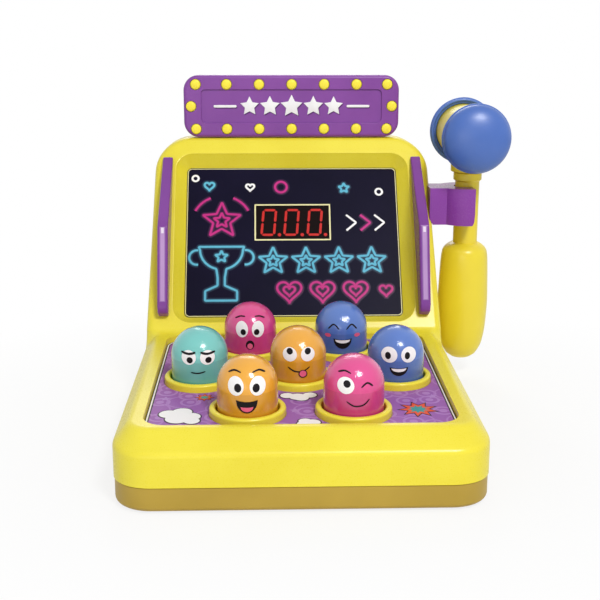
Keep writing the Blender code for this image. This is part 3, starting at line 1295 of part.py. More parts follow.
def screw(name):
    """A pan-head screw with its head's upper face at the origin and its shank upwards."""
    profile = [(0, SCREW_LENGTH), (SCREW_RADIUS, SCREW_LENGTH - SCREW_RADIUS), (SCREW_RADIUS, 0),
               (SCREW_HEAD_RADIUS, 0), (SCREW_HEAD_RADIUS, -SCREW_HEAD_HEIGHT), (0, -SCREW_HEAD_HEIGHT)]
    return turned(name, profile, SMALL_SIDES)


def speaker_profile():
    share = 0.55
    return [(0, SPEAKER_HEIGHT), (SPEAKER_RADIUS * share, SPEAKER_HEIGHT),
            (SPEAKER_RADIUS * share, SPEAKER_HEIGHT * share), (SPEAKER_RADIUS, RIB_HEIGHT / 2),
            (SPEAKER_RADIUS, 0), (SPEAKER_RADIUS - WALL, 0), (SPEAKER_RADIUS * share, WALL),
            (0, WALL)]


def battery_profile():
    half = BATTERY_LENGTH / 2
    shoulder = half - SCREW_HEAD_HEIGHT
    return [(0, half), (BATTERY_NIPPLE, half), (BATTERY_NIPPLE, shoulder), (BATTERY_RADIUS, shoulder),
            (BATTERY_RADIUS, -half), (0, -half)]


def battery_door():
    """The door's origin is on the line of its two knuckles, about which it swings open."""
    origin = (0, *door_hinge())
    door = outline_solid("battery_door", [door_outline(0)], TRAY_BOTTOM, DOOR_TOP)
    move(door, [-value for value in origin])
    as_part(door, WORLD, MUSTARD, 0.4).location = origin
    ear = outline_solid("door_ear", [circle(DOOR_EAR_RADIUS, door_screw(), SMALL_SIDES)], TRAY_BOTTOM, DOOR_TOP)
    join(door, ear, WORLD)
    for side in (-1, 1):
        join(door, door_knuckle(f"door_knuckle_{side + 1}", side), WORLD)
    hole = outline_solid("door_screw_hole", [circle(SCREW_RADIUS + GAP, door_screw(), SMALL_SIDES)],
                         -OVERRUN, DOOR_TOP + OVERRUN)
    cut(door, hole, WORLD)
    seat = outline_solid("door_screw_seat", [circle(SCREW_HEAD_RADIUS + GAP, door_screw(), SMALL_SIDES)],
                         -OVERRUN, TRAY_BOTTOM + SCREW_HEAD_HEIGHT / 2)
    cut(door, seat, WORLD)
    fastener = as_part(screw("battery_door_screw"), WORLD, STEEL, 0.3, 1.0)
    fastener.location = (*door_screw(), TRAY_BOTTOM + SCREW_HEAD_HEIGHT / 2 - GAP)


def power_switch():
    """A slide knob in the rear cover and the switch behind it."""
    inside = BACK_REACH - TRAY_WALL
    knob = box("power_knob", (-KNOB_WIDTH / 2, inside - GAP, -KNOB_HEIGHT / 2),
               (KNOB_WIDTH / 2, BACK_REACH - KNOB_SINK, KNOB_HEIGHT / 2))
    as_part(knob, WORLD, BLACK, 0.5)
    start = SWITCH_X - KNOB_TRAVEL / 2
    knob.location = (start, 0, SWITCH_Z)
    back = inside - 2 * GAP
    body_half = (KNOB_WIDTH + KNOB_TRAVEL) / 2 + KNOB_SKIRT
    body = box("power_switch", (SWITCH_X - body_half, back - SWITCH_BODY_DEPTH, SWITCH_Z - KNOB_HEIGHT),
               (SWITCH_X + body_half, back, SWITCH_Z + KNOB_HEIGHT))
    as_part(body, WORLD, BLACK, 0.5)


def build():
    base_tray()
    upper_housing()
    rear_cover()
    deck_sheet()
    add_moles()
    guide_plate()
    switch_board()
    screen_pieces()
    fin("left_fin", -1)
    fin("right_fin", 1)
    sign_pieces()
    hammer_clip()
    hammer_pieces()
    tray_pieces()
    power_switch()


build()
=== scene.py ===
"""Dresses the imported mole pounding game: smooth mouldings, printed sheets, moulded finishes and light.

Sizes repeat those of the part's source. Each piece is drawn flat in the plane that carries it, such
as the deck or the screen face, and is then settled into its place.
"""

import math

import bmesh
import bpy
from mathutils import Matrix, Vector


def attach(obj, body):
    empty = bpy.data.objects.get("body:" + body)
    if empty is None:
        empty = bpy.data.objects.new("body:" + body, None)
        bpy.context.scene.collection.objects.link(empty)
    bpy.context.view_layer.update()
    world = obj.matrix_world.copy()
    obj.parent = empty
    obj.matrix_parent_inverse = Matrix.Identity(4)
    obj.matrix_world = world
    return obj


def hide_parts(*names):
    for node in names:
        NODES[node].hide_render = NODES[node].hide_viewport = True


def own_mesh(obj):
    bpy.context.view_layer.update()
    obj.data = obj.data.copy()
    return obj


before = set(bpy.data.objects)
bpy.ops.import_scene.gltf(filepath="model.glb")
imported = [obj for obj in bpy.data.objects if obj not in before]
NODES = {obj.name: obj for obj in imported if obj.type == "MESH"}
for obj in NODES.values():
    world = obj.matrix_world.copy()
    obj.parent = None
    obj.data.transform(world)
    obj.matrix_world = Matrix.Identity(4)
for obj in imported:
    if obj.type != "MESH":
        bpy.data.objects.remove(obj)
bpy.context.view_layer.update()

MM = 0.001
MERGE = 0.001 * MM
QUARTER = math.pi / 2

# Points to a quarter turn, and sides of a plain and of a fine round piece
STEPS = 12
ROUND = 64
FINE = 80
SMOOTH_ANGLE = math.radians(32)
SHARP_ANGLE = math.radians(30)

# Fits
GAP = 0.3 * MM
OVERRUN = 5 * MM
BITE = 1.0 * MM
WALL = 2.5 * MM

# Moles and deck
MOLE_RADIUS = 16.7 * MM
MOLE_STRAIGHT = 12.4 * MM
MOLE_WALL = 1.8 * MM
MOLE_PITCH = 58.1 * MM
ROW_PITCH = 53.0 * MM
HOLE_RADIUS = 17.7 * MM
COLLAR_RADIUS = 21.1 * MM
COLLAR_TOP = 0.6 * MM
COLLAR_ROUND = 1.5 * MM
FLANGE_RADIUS = 19.6 * MM
FLANGE_TOP = 6.8 * MM
CAP_BOTTOM = 8.8 * MM
SPRING_LENGTH = 13.0 * MM
SPRING_RADIUS = 7.8 * MM
SPRING_WIRE = 0.5 * MM
SPRING_TURNS = 4
DECK_TILT = math.radians(2.1)
RIM_HEIGHT = 46.0 * MM
SHEET_DROP = 3.8 * MM
RECESS_DEPTH = 4.6 * MM
DECK_UNDERSIDE = 6.8 * MM
DECK_FLOOR = 2.2 * MM
RECESS_RADIUS = 12.5 * MM
RECESS_HALF = 84.4 * MM
RECESS_FRONT = 78.7 * MM
RECESS_BACK = 80.0 * MM
RECESS_LIP_ROUND = 0.8 * MM
SHEET_THICKNESS = 0.5 * MM
PRINT_LIFT = 0.03 * MM

# Housing
RIM_FRONT = 82.0 * MM
FRONT_REACH = 95.7 * MM
HALF_WIDTH = 100.0 * MM
SIDE_CHAMFER = 8.0 * MM
CHAMFER_DROP = 9.4 * MM
CORNER_RADIUS = 21.7 * MM
RIM_RADIUS = 12.0 * MM
EDGE_SOFTNESS = 2.4 * MM
SEAM_HEIGHT = 14.7 * MM
WAIST_HEIGHT = 33.7 * MM
DRAFT = math.radians(1.36)
FACE_START = 83.9 * MM
FACE_LEAN = math.radians(33)
FACE_LENGTH = 147.3 * MM
FACE_CHAMFER = 3.0 * MM
FACE_EDGE = 3.0 * MM
TOP_EDGE = 1.6 * MM
FACE_CORNER = 26.0 * MM
FOOT_FILLET = 6.5 * MM
TOP_DEPTH = 24.0 * MM
COVER_DEPTH = 6.0 * MM
COVER_ROUND = 3.5 * MM
BACK_RADIUS = 6.0 * MM
TRAY_BOTTOM = 1.2 * MM
TRAY_FLOOR = 2.2 * MM
TRAY_WALL = 2.4 * MM
TRAY_ROUND = 3.0 * MM
TRAY_INSET = 0.5 * MM
TONGUE_RISE = 3.0 * MM

# Screen
SCREEN_START = 14.2 * MM
SCREEN_WIDTH = 149.6 * MM
SCREEN_HEIGHT = 112.8 * MM
SCREEN_DROP = 8.7 * MM
SCREEN_FLOOR = 10.5 * MM
SCREEN_UNDERSIDE = 12.7 * MM
SCREEN_RADIUS = 3.5 * MM
SLOPE_SIDE = 6.9 * MM
SLOPE_TOP = 7.0 * MM
SLOPE_BOTTOM = 6.1 * MM
LIP_RADIUS = 12.0 * MM
LIP_ROUND = 0.9 * MM
PANEL_THICKNESS = 1.5 * MM
WINDOW_WIDTH = 53.4 * MM
WINDOW_HEIGHT = 27.5 * MM
WINDOW_MIDDLE = SCREEN_START + 70.4 * MM
DISPLAY_WIDTH = 48.0 * MM
DISPLAY_HEIGHT = 24.0 * MM

# Fins
FIN_SPREAD = 84.0 * MM
FIN_THICKNESS = 8.0 * MM
FIN_FOOT = 11.6 * MM
FIN_LENGTH = 119.1 * MM
FIN_HEIGHT = 25.3 * MM
FIN_TOP_HEIGHT = 2.6 * MM
FIN_HEEL_HEIGHT = 11.0 * MM
FIN_TOE_HEIGHT = 7.0 * MM
FIN_PEAK_SHARE = 0.466
FIN_TOE_RUN = 4.0 * MM
FIN_SLIMMING = 0.5 * MM

# Sign
SIGN_WIDTH = 153.7 * MM
SIGN_HEIGHT = 43.6 * MM
SIGN_RADIUS = 10.7 * MM
SIGN_SETBACK = 1.5 * MM
SIGN_DEPTH = 6.5 * MM
SIGN_EDGE = 2.4 * MM
SIGN_WALL = 2.2 * MM
SIGN_BACK_THICKNESS = 2.0 * MM
NAMEPLATE_WIDTH = 128.6 * MM
NAMEPLATE_HEIGHT = 23.4 * MM
NAMEPLATE_DROP = 1.2 * MM
BULB_RADIUS = 3.65 * MM
BULB_PROUD = 0.7 * MM
BULB_PITCH = 23.13 * MM
BULB_CORNER_INSET = 8.7 * MM
BULB_SIDE_INSET = 5.2 * MM
BULB_LOW_INSET = 5.9 * MM
BULB_HIGH_INSET = 6.5 * MM
SHAPE_RISE = 0.6 * MM

# Hammer and clip
HAMMER_X = 124.2 * MM
HAMMER_DEPTH_BACK = 20.6 * MM
SHAFT_RADIUS = 8.5 * MM
GRIP_RADIUS = 17.9 * MM
GRIP_BOTTOM = 13.9 * MM
GRIP_LENGTH = 85.7 * MM
NECK_RADIUS = 9.9 * MM
NECK_BOTTOM = 143.4 * MM
NECK_LENGTH = 6.4 * MM
HEAD_HEIGHT = 176.1 * MM
HEAD_RADIUS = 19.0 * MM
SOCKET_RADIUS = 12.1 * MM
SOCKET_LENGTH = 6.8 * MM
HEAD_LENGTH = 80.0 * MM
CAP_RADIUS = 23.8 * MM
CAP_RIM = 25.0 * MM
CAP_BEAD = 3.2 * MM
CAP_BEAD_DEPTH = 0.8 * MM
CLIP_BORE = 9.4 * MM
CLIP_RADIUS = 21.5 * MM
CLIP_ARM_DEPTH = 28.0 * MM
CLIP_BOTTOM = 114.2 * MM
CLIP_HEIGHT = 25.7 * MM
CLIP_LIP = 2.4 * MM
CLIP_SKIN = 2.2 * MM
CLIP_REACH = 2.4 * MM
HAMMER_LEAN = math.radians(2.0)

# Screws, feet and power knob
SCREW_LENGTH = 12.0 * MM
SCREW_HEAD_RADIUS = 3.0 * MM
SCREW_HEAD_ROUND = 0.9 * MM
SHANK_RADIUS = 1.5 * MM
SHANK_HOLE_RADIUS = 1.8 * MM
HEAD_SEAT_RADIUS = 3.3 * MM
FOOT_RADIUS = 7.0 * MM
FOOT_HEIGHT = 2.2 * MM
FOOT_ROUND = 1.2 * MM
KNOB_X = -64.5 * MM
KNOB_HALF_WIDTH = 3.0 * MM
KNOB_LOW = 39.6 * MM
KNOB_HIGH = 44.0 * MM
KNOB_TRAVEL = 5.0 * MM

# Battery box, its door, and the speaker grille
BATTERY_RADIUS = 7.1 * MM
BATTERY_HALF_X = 25.85 * MM
BATTERY_HALF_Y = 22.2 * MM
BATTERY_SETBACK = 22.0 * MM
DOOR_THICKNESS = 2.0 * MM
DOOR_OVERLAP = 3.0 * MM
DOOR_EAR_RADIUS = 5.5 * MM
DOOR_SCREW_OFFSET = 5.75 * MM
HINGE_OFFSET = 6.0 * MM
KNUCKLE_SPREAD = 14.0 * MM
KNUCKLE_HALF = 4.0 * MM
KNUCKLE_RUN = 4.0 * MM
SPEAKER_X = -66.0 * MM
GRILLE_RADIUS = 15.0 * MM
GRILLE_PITCH = 5.6 * MM
GRILLE_HALF = 1.3 * MM

# Places that follow
TILT_SLOPE = math.tan(DECK_TILT)
FACE_START_Z = RIM_HEIGHT + TILT_SLOPE * FACE_START
FACE_TOP_Y = FACE_START + FACE_LENGTH * math.sin(FACE_LEAN)
FACE_TOP_Z = FACE_START_Z + FACE_LENGTH * math.cos(FACE_LEAN)
BACK_REACH = FACE_TOP_Y + TOP_DEPTH
COVER_SPLIT = BACK_REACH - COVER_DEPTH
SHELL_BOTTOM = SEAM_HEIGHT + GAP
FLOOR_TOP = TRAY_BOTTOM + TRAY_FLOOR
HAMMER_Y = FACE_TOP_Y - HAMMER_DEPTH_BACK
CAP_SEAM = CAP_RIM + CAP_BEAD
CLIP_MIDDLE = CLIP_BOTTOM + CLIP_HEIGHT / 2
BATTERY_Y = FACE_START + BATTERY_SETBACK + BATTERY_HALF_Y
HINGE_Y = BATTERY_Y - BATTERY_HALF_Y - HINGE_OFFSET
DOOR_TOP = TRAY_BOTTOM + DOOR_THICKNESS
DOOR_SCREW = (0, BATTERY_Y + BATTERY_HALF_Y + DOOR_SCREW_OFFSET)
BATTERY_CEILING = DOOR_TOP + 2 * GAP + 2 * BATTERY_RADIUS
MOLES = (
    ("front_left", -MOLE_PITCH / 2, -ROW_PITCH, "orange"),
    ("front_right", MOLE_PITCH / 2, -ROW_PITCH, "pink"),
    ("middle_left", -MOLE_PITCH, 0, "teal"),
    ("middle_centre", 0, 0, "orange"),
    ("middle_right", MOLE_PITCH, 0, "blue"),
    ("back_left", -MOLE_PITCH / 2, ROW_PITCH, "pink"),
    ("back_right", MOLE_PITCH / 2, ROW_PITCH, "blue"),
)
MOLE_PLACES = [(x, y) for _, x, y, _ in MOLES]

# The planes that carry the pieces
GAME = Matrix.Translation((-24.0 * MM, (FRONT_REACH - BACK_REACH) / 2, 0))
DECK = GAME @ Matrix.Translation((0, 0, RIM_HEIGHT)) @ Matrix.Rotation(DECK_TILT, 4, "X")
FACE = (GAME @ Matrix.Translation((0, FACE_START, FACE_START_Z))
        @ Matrix.Rotation(QUARTER - FACE_LEAN, 4, "X"))
SIGN = (GAME @ Matrix.Translation((0, FACE_TOP_Y - SIGN_SETBACK, FACE_TOP_Z + GAP))
        @ Matrix.Rotation(QUARTER, 4, "X"))
CLIP = GAME @ Matrix.Translation((HAMMER_X, HAMMER_Y, 0))
HAMMER = (CLIP @ Matrix.Translation((0, 0, CLIP_MIDDLE)) @ Matrix.Rotation(HAMMER_LEAN, 4, "X")
          @ Matrix.Translation((0, 0, -CLIP_MIDDLE)))
HEAD = HAMMER @ Matrix.Translation((0, 0, HEAD_HEIGHT)) @ Matrix.Rotation(QUARTER, 4, "X")
# Stands a drawing on edge: its x runs along y, its y along z, and its height along x
EDGE_ON = Matrix(((0, 0, 1, 0), (1, 0, 0, 0), (0, 1, 0, 0), (0, 0, 0, 1)))


# Outlines


def arc(centre_x, centre_y, radius, start, end, steps=STEPS):
    """Points along an arc, both ends included, with angles in radians."""
    turns = [start + (end - start) * step / steps for step in range(steps + 1)]
    return [(centre_x + radius * math.cos(turn), centre_y + radius * math.sin(turn)) for turn in turns]


def rounded_rectangle(left, right, low, high, radius, steps=STEPS):
    """A rectangle's outline with round corners."""
    points = arc(right - radius, high - radius, radius, 0, QUARTER, steps)
    points += arc(left + radius, high - radius, radius, QUARTER, 2 * QUARTER, steps)
    points += arc(left + radius, low + radius, radius, 2 * QUARTER, 3 * QUARTER, steps)
    points += arc(right - radius, low + radius, radius, 3 * QUARTER, 4 * QUARTER, steps)
    return points


def base_outline(inset):
    """Plan of the base: wide round corners at the front, tight ones at the back."""
    half = HALF_WIDTH - inset
    front = -FRONT_REACH + inset
    back = BACK_REACH - inset
    wide = CORNER_RADIUS - inset
    tight = max(BACK_RADIUS - inset, BITE)
    points = arc(half - tight, back - tight, tight, 0, QUARTER)
    points += arc(-half + tight, back - tight, tight, QUARTER, 2 * QUARTER)
    points += arc(-half + wide, front + wide, wide, 2 * QUARTER, 3 * QUARTER)
    points += arc(half - wide, front + wide, wide, 3 * QUARTER, 4 * QUARTER)
    return points


def eased(points, steps=6):
    """A smooth line through points, for a profile that swells and narrows."""
    line = []
    padded = [points[0]] + list(points) + [points[-1]]
    for before, start, end, after in zip(padded, padded[1:], padded[2:], padded[3:]):
        for step in range(steps):
            t = step / steps
            line.append(tuple(0.5 * (2 * b + (c - a) * t + (2 * a - 5 * b + 4 * c - d) * t * t
                                     + (3 * b - a - 3 * c + d) * t * t * t)
                              for a, b, c, d in zip(before, start, end, after)))
    return line + [tuple(points[-1])]


# Bench work: the steps by which a piece is modelled


def take(piece):
    """Makes a piece the only one selected."""
    bpy.ops.object.select_all(action="DESELECT")
    piece.select_set(True)
    bpy.context.view_layer.objects.active = piece
    return piece


def settle(piece, plane):
    """Puts a piece in the plane that carries it, and leaves its object at the origin."""
    take(piece)
    piece.matrix_world = plane
    bpy.ops.object.transform_apply(location=True, rotation=True, scale=True)
    return piece


def added(name):
    """The piece just added, named, with its place and size in its mesh."""
    piece = bpy.context.object
    piece.name = piece.data.name = name
    bpy.ops.object.transform_apply(location=True, rotation=True, scale=True)
    return piece


def chain(name, points):
    """A line of points, drawn by extruding one vertex after another; stays in edit mode."""
    bpy.ops.object.select_all(action="DESELECT")
    bpy.ops.mesh.primitive_plane_add(size=MM, location=points[0])
    piece = added(name)
    bpy.ops.object.mode_set(mode="EDIT")
    bpy.ops.mesh.select_mode(type="VERT")
    bpy.ops.mesh.select_all(action="SELECT")
    bpy.ops.mesh.merge(type="CENTER")
    for start, end in zip(points, points[1:]):
        step = Vector(end) - Vector(start)
        bpy.ops.mesh.extrude_vertices_move(TRANSFORM_OT_translate={"value": tuple(step)})
    return piece


def slab(name, outline, low, high):
    """An outline filled and extruded upwards from one height to another."""
    piece = chain(name, [(x, y, low) for x, y in outline])
    bpy.ops.mesh.select_all(action="SELECT")
    bpy.ops.mesh.edge_face_add()
    bpy.ops.mesh.extrude_region_move(TRANSFORM_OT_translate={"value": (0, 0, high - low)})
    return closed(piece)


def closed(piece):
    """Merges what meets and turns every face outwards, back in object mode."""
    bpy.ops.mesh.select_all(action="SELECT")
    bpy.ops.mesh.remove_doubles(threshold=MERGE)
    bpy.ops.mesh.normals_make_consistent(inside=False)
    bpy.ops.object.mode_set(mode="OBJECT")
    return piece


def turned(name, profile, sides=ROUND):
    """A profile of (radius, height) points spun about Z."""
    piece = chain(name, [(radius, 0, height) for radius, height in profile])
    bpy.ops.mesh.select_all(action="SELECT")
    bpy.ops.mesh.spin(steps=sides, angle=math.tau, center=(0, 0, 0), axis=(0, 0, 1))
    return closed(piece)


def disc(name, radius, low, high, place=(0, 0), sides=ROUND):
    """A round plate or peg between two heights."""
    bpy.ops.object.select_all(action="DESELECT")
    bpy.ops.mesh.primitive_cylinder_add(vertices=sides, radius=radius, depth=high - low,
                                        location=(*place, (low + high) / 2))
    return added(name)


def block(name, low, high):
    """A box between its lowest and its highest corner."""
    bpy.ops.object.select_all(action="DESELECT")
    middle = [(a + b) / 2 for a, b in zip(low, high)]
    bpy.ops.mesh.primitive_cube_add(size=1, location=middle, scale=[b - a for a, b in zip(low, high)])
    return added(name)


def skin(name, rows):
    """A closed skin over rows of points, for a form whose rings differ in shape."""
    shape = bmesh.new()
    rings = [[shape.verts.new(point) for point in row] for row in rows]
    for lower, upper in zip(rings, rings[1:]):
        for index in range(len(lower)):
            shape.faces.new((lower[index - 1], lower[index], upper[index], upper[index - 1]))
    shape.faces.new(rings[0])
    shape.faces.new(rings[-1])
    bmesh.ops.recalc_face_normals(shape, faces=shape.faces)
    return from_shape(name, shape)


def from_shape(name, shape):
    """A piece made of a finished bmesh."""
    mesh = bpy.data.meshes.new(name)
    shape.to_mesh(mesh)
    shape.free()
    piece = bpy.data.objects.new(name, mesh)
    bpy.context.scene.collection.objects.link(piece)
    return piece


def worked(piece, kind, **settings):
    """Gives a piece one modifier and applies it."""
    take(piece)
    step = piece.modifiers.new(kind.lower(), kind)
    for key, value in settings.items():
        setattr(step, key, value)
    bpy.ops.object.modifier_apply(modifier=step.name)
    return piece


def boolean(piece, tool, operation):
    """Applies one boolean and discards its tool."""
    worked(piece, "BOOLEAN", object=tool, operation=operation, solver="EXACT")
    bpy.data.objects.remove(tool)


def cut(piece, *tools):
    """Takes each tool out of a piece."""
    for tool in tools:
        boolean(piece, tool, "DIFFERENCE")
    return piece


def weld(piece, *tools):
    """Makes one solid of a piece and others."""
    for tool in tools:
        boolean(piece, tool, "UNION")
    return piece


def gather(piece, *others):
    """Joins loose pieces into one object."""
    take(piece)
    for other in others:
        other.select_set(True)
    bpy.ops.object.join()
    return piece


def soften(piece, width, segments):
    """Rounds every sharp edge."""
    return worked(piece, "BEVEL", width=width, segments=segments, limit_method="ANGLE",
                  angle_limit=SHARP_ANGLE, use_clamp_overlap=True)


def round_where(piece, wanted, width, segments):
    """Rounds the sharp edges both of whose ends pass a test."""
    take(piece)
    bpy.ops.object.mode_set(mode="EDIT")
    bpy.ops.mesh.select_mode(type="EDGE")
    bpy.ops.mesh.select_all(action="DESELECT")
    shape = bmesh.from_edit_mesh(piece.data)
    for edge in shape.edges:
        sharp = len(edge.link_faces) == 2 and edge.calc_face_angle() > SHARP_ANGLE
        edge.select_set(sharp and all(wanted(end.co) for end in edge.verts))
    bmesh.update_edit_mesh(piece.data)
    bpy.ops.mesh.bevel(offset=width, segments=segments, affect="EDGES", clamp_overlap=True)
    bpy.ops.object.mode_set(mode="OBJECT")
    return piece


def twin(piece, name, plane):
    """A copy with its own mesh, settled in another place."""
    take(piece)
    bpy.ops.object.duplicate(linked=False)
    copy = bpy.context.object
    copy.name = copy.data.name = name
    return settle(copy, plane)


def finished(piece, finish, body, slot, *replaced, weighted=True):
    """Shades a piece, gives it its finish, ties it to its body, and hides the nodes it stands for."""
    take(piece)
    piece.data.materials.clear()
    piece.data.materials.append(finish)
    bpy.ops.object.shade_smooth_by_angle(angle=SMOOTH_ANGLE)
    if weighted:
        worked(piece, "WEIGHTED_NORMAL", mode="FACE_AREA", weight=50, keep_sharp=True)
    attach(piece, body)
    if replaced:
        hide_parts(*replaced)
    return piece


# Finishes


def hex_colour(code):
    """An sRGB hex code as linear red, green, blue and alpha."""
    values = [int(code[index:index + 2], 16) / 255 for index in (1, 3, 5)]
    return [v / 12.92 if v <= 0.04045 else ((v + 0.055) / 1.055) ** 2.4 for v in values] + [1.0]


def add_node(tree, kind, links=None, stops=None, inputs=None, **settings):
    """Adds a node with its settings, input values, ramp stops and incoming links."""
    node = tree.nodes.new(kind)
    for key, value in settings.items():
        setattr(node, key, value)
    for key, value in (inputs or {}).items():
        node.inputs[key].default_value = value
    for key, socket in (links or {}).items():
        tree.links.new(socket, node.inputs[key])
    for index, (place, code) in enumerate(stops or ()):
        ramp = node.color_ramp.elements
        stop = ramp[index] if index < 2 else ramp.new(place)
        stop.position = place
        stop.color = hex_colour(code)
    return node


def moulded(name, light, dark, roughness, cloud=40.0, grain=0.7, relief=0.02, specular=0.5, coat=0.0,
            metallic=0.0):
    """A moulded surface: two close tones in slow clouds, and a fine grain in its gloss.

    The cloud size and the grain are in millimetres; the relief is the grain's depth in millimetres.
    """
    finish = bpy.data.materials.new(name)
    finish.use_nodes = True
    tree = finish.node_tree
    shader = tree.nodes["Principled BSDF"]
    shader.inputs["Metallic"].default_value = metallic
    shader.inputs["Specular IOR Level"].default_value = specular
    shader.inputs["Coat Weight"].default_value = coat
    shader.inputs["Coat Roughness"].default_value = 0.04
    place = add_node(tree, "ShaderNodeTexCoord").outputs["Object"]
    clouds = add_node(tree, "ShaderNodeTexNoise", {"Vector": place},
                      inputs={"Scale": 1 / (cloud * MM), "Detail": 3.0, "Roughness": 0.5})
    tones = add_node(tree, "ShaderNodeValToRGB", {"Fac": clouds.outputs["Fac"]},
                     ((0.32, dark), (0.68, light)))
    tree.links.new(tones.outputs["Color"], shader.inputs["Base Color"])
    fine = add_node(tree, "ShaderNodeTexNoise", {"Vector": place},
                    inputs={"Scale": 1 / (grain * MM), "Detail": 2.0, "Roughness": 0.5})
    gloss = add_node(tree, "ShaderNodeMapRange", {"Value": fine.outputs["Fac"]},
                     inputs={"From Min": 0.3, "From Max": 0.7, "To Min": roughness * 0.85,
                             "To Max": roughness * 1.15})
    tree.links.new(gloss.outputs["Result"], shader.inputs["Roughness"])
    bump = add_node(tree, "ShaderNodeBump", {"Height": fine.outputs["Fac"]},
                    inputs={"Strength": 0.5, "Distance": relief * MM})
    tree.links.new(bump.outputs["Normal"], shader.inputs["Normal"])
    return finish


# Gloss-moulded ABS: an even, slightly waxy yellow whose tone drifts a little over the large walls
YELLOW = moulded("gloss_abs_yellow", "#F1E240", "#ECDB37", 0.30, specular=0.42)
# The same ABS in the mustard tray, moulded a little duller
MUSTARD = moulded("satin_abs_mustard", "#B99A36", "#AF9130", 0.38)
# Polypropylene of the hammer handle: softer gloss, faint flow marks
HANDLE_YELLOW = moulded("polypropylene_yellow", "#F4DF3C", "#EDD734", 0.32, cloud=60.0)
# Purple ABS of the sign, with a satin sheen
PURPLE = moulded("satin_abs_purple", "#8847A0", "#7F4097", 0.36, specular=0.4)
# The darker, glossier purple of the fins
FIN_PURPLE = moulded("gloss_abs_violet", "#84449C", "#7A3A92", 0.24, specular=0.3)
# The clip, a redder batch of the same plastic
CLIP_PURPLE = moulded("gloss_abs_red_violet", "#9248A8", "#88409E", 0.26, specular=0.25)
# Painted sheen and glint for the fins: lilac strips on their lower front edges that stand in for the light
# the edges catch
PAINTED_FIN_SHEENS = (
    moulded("painted_sheen_lilac_soft", "#A276B8", "#976AAE", 0.2),
    moulded("painted_sheen_lilac_bright", "#C09ACE", "#B68DC6", 0.2),
    moulded("painted_glint_lilac", "#F2E6F5", "#E9D9EE", 0.2),
)
# Blue ABS hammer caps with a soft broad highlight
CAP_BLUE = moulded("satin_abs_blue", "#436CBD", "#3B64B3", 0.38, specular=0.8)


def mole_shell(name, light, dark):
    """Hard plastic under a clear shell with an uneven shine, and painted shade that darkens it below the
    dome.
    """
    finish = moulded(name, light, dark, 0.2, coat=0.7, relief=0.01)
    tree = finish.node_tree
    shader = tree.nodes["Principled BSDF"]
    tones = shader.inputs["Base Color"].links[0].from_socket
    place = add_node(tree, "ShaderNodeTexCoord").outputs["Object"]
    out = DECK.to_3x3() @ Vector((0, 0, 1))
    level = add_node(tree, "ShaderNodeVectorMath", {0: place}, operation="DOT_PRODUCT")
    level.inputs[1].default_value = out
    parting = out.dot(DECK.translation) + COLLAR_TOP + MOLE_STRAIGHT
    depth = add_node(tree, "ShaderNodeMapRange", {"Value": level.outputs["Value"]},
                     inputs={"From Min": parting - 9 * MM, "From Max": parting + 1 * MM})
    # Painted shade: the tone is multiplied darker below the height where the dome begins
    painted_shade = add_node(tree, "ShaderNodeValToRGB", {"Fac": depth.outputs["Result"]},
                     ((0.0, "#E0DCDC"), (0.86, "#ECEAEA"), (0.9, "#FFFFFF")))
    mix = add_node(tree, "ShaderNodeMixRGB", {"Color1": tones, "Color2": painted_shade.outputs["Color"]},
                   inputs={"Fac": 1.0}, blend_type="MULTIPLY")
    tree.links.new(mix.outputs["Color"], shader.inputs["Base Color"])
    waves = add_node(tree, "ShaderNodeTexNoise", {"Vector": place},
                     inputs={"Scale": 1 / (5 * MM), "Detail": 3.0, "Roughness": 0.6})
    bump = add_node(tree, "ShaderNodeBump", {"Height": waves.outputs["Fac"]},
                    inputs={"Strength": 0.9, "Distance": 0.8 * MM})
    tree.links.new(bump.outputs["Normal"], shader.inputs["Coat Normal"])
    return finish


# Clear-coated hard plastic of the moles, with broken bright reflections and painted shade below the dome
MOLE_FINISHES = {
    "orange": mole_shell("clear_coated_orange", "#F0AC2E", "#E9A326"),
    "pink": mole_shell("clear_coated_pink", "#E24790", "#DB3B87"),
    "teal": mole_shell("clear_coated_teal", "#78CBC5", "#6CC1BB"),
    "blue": mole_shell("clear_coated_blue", "#5A81CC", "#4E74C2"),
}
# Bulbs: pale yellow styrene with a satin skin
BULB_YELLOW = moulded("gloss_styrene_bulb", "#FFEE4C", "#FCE943", 0.42, specular=0.3)
# Black ABS and rubber
BLACK_PLASTIC = moulded("satin_abs_black", "#232326", "#1A1A1C", 0.4)
RUBBER = moulded("foot_rubber", "#2B2B2C", "#222223", 0.75, grain=0.4, relief=0.05)
# Natural polyacetal of the works under the deck, milky and slippery
WHITE_PLASTIC = moulded("natural_acetal", "#EDECE6", "#E4E3DB", 0.42)
# Green solder mask over glass fibre
BOARD_GREEN = moulded("solder_mask_green", "#1F6B3A", "#185A30", 0.3, cloud=12.0)
# Bright zinc-plated steel of the screws and springs
STEEL = moulded("zinc_plated_steel", "#C9CACC", "#B5B6B9", 0.25, cloud=8.0, metallic=1.0)
# Battery sleeve
BATTERY_WRAP = moulded("battery_sleeve", "#3A3D42", "#2E3136", 0.3)
# Printed polyester panel: flat even ink whose matt film keeps the dark clear of haze
SCREEN_NAVY = moulded("printed_sheet_navy", "#15122A", "#110F24", 0.35, specular=0.04)
SMOKED_LENS = moulded("smoked_acrylic", "#1A1010", "#150C0C", 0.15, specular=0.06)
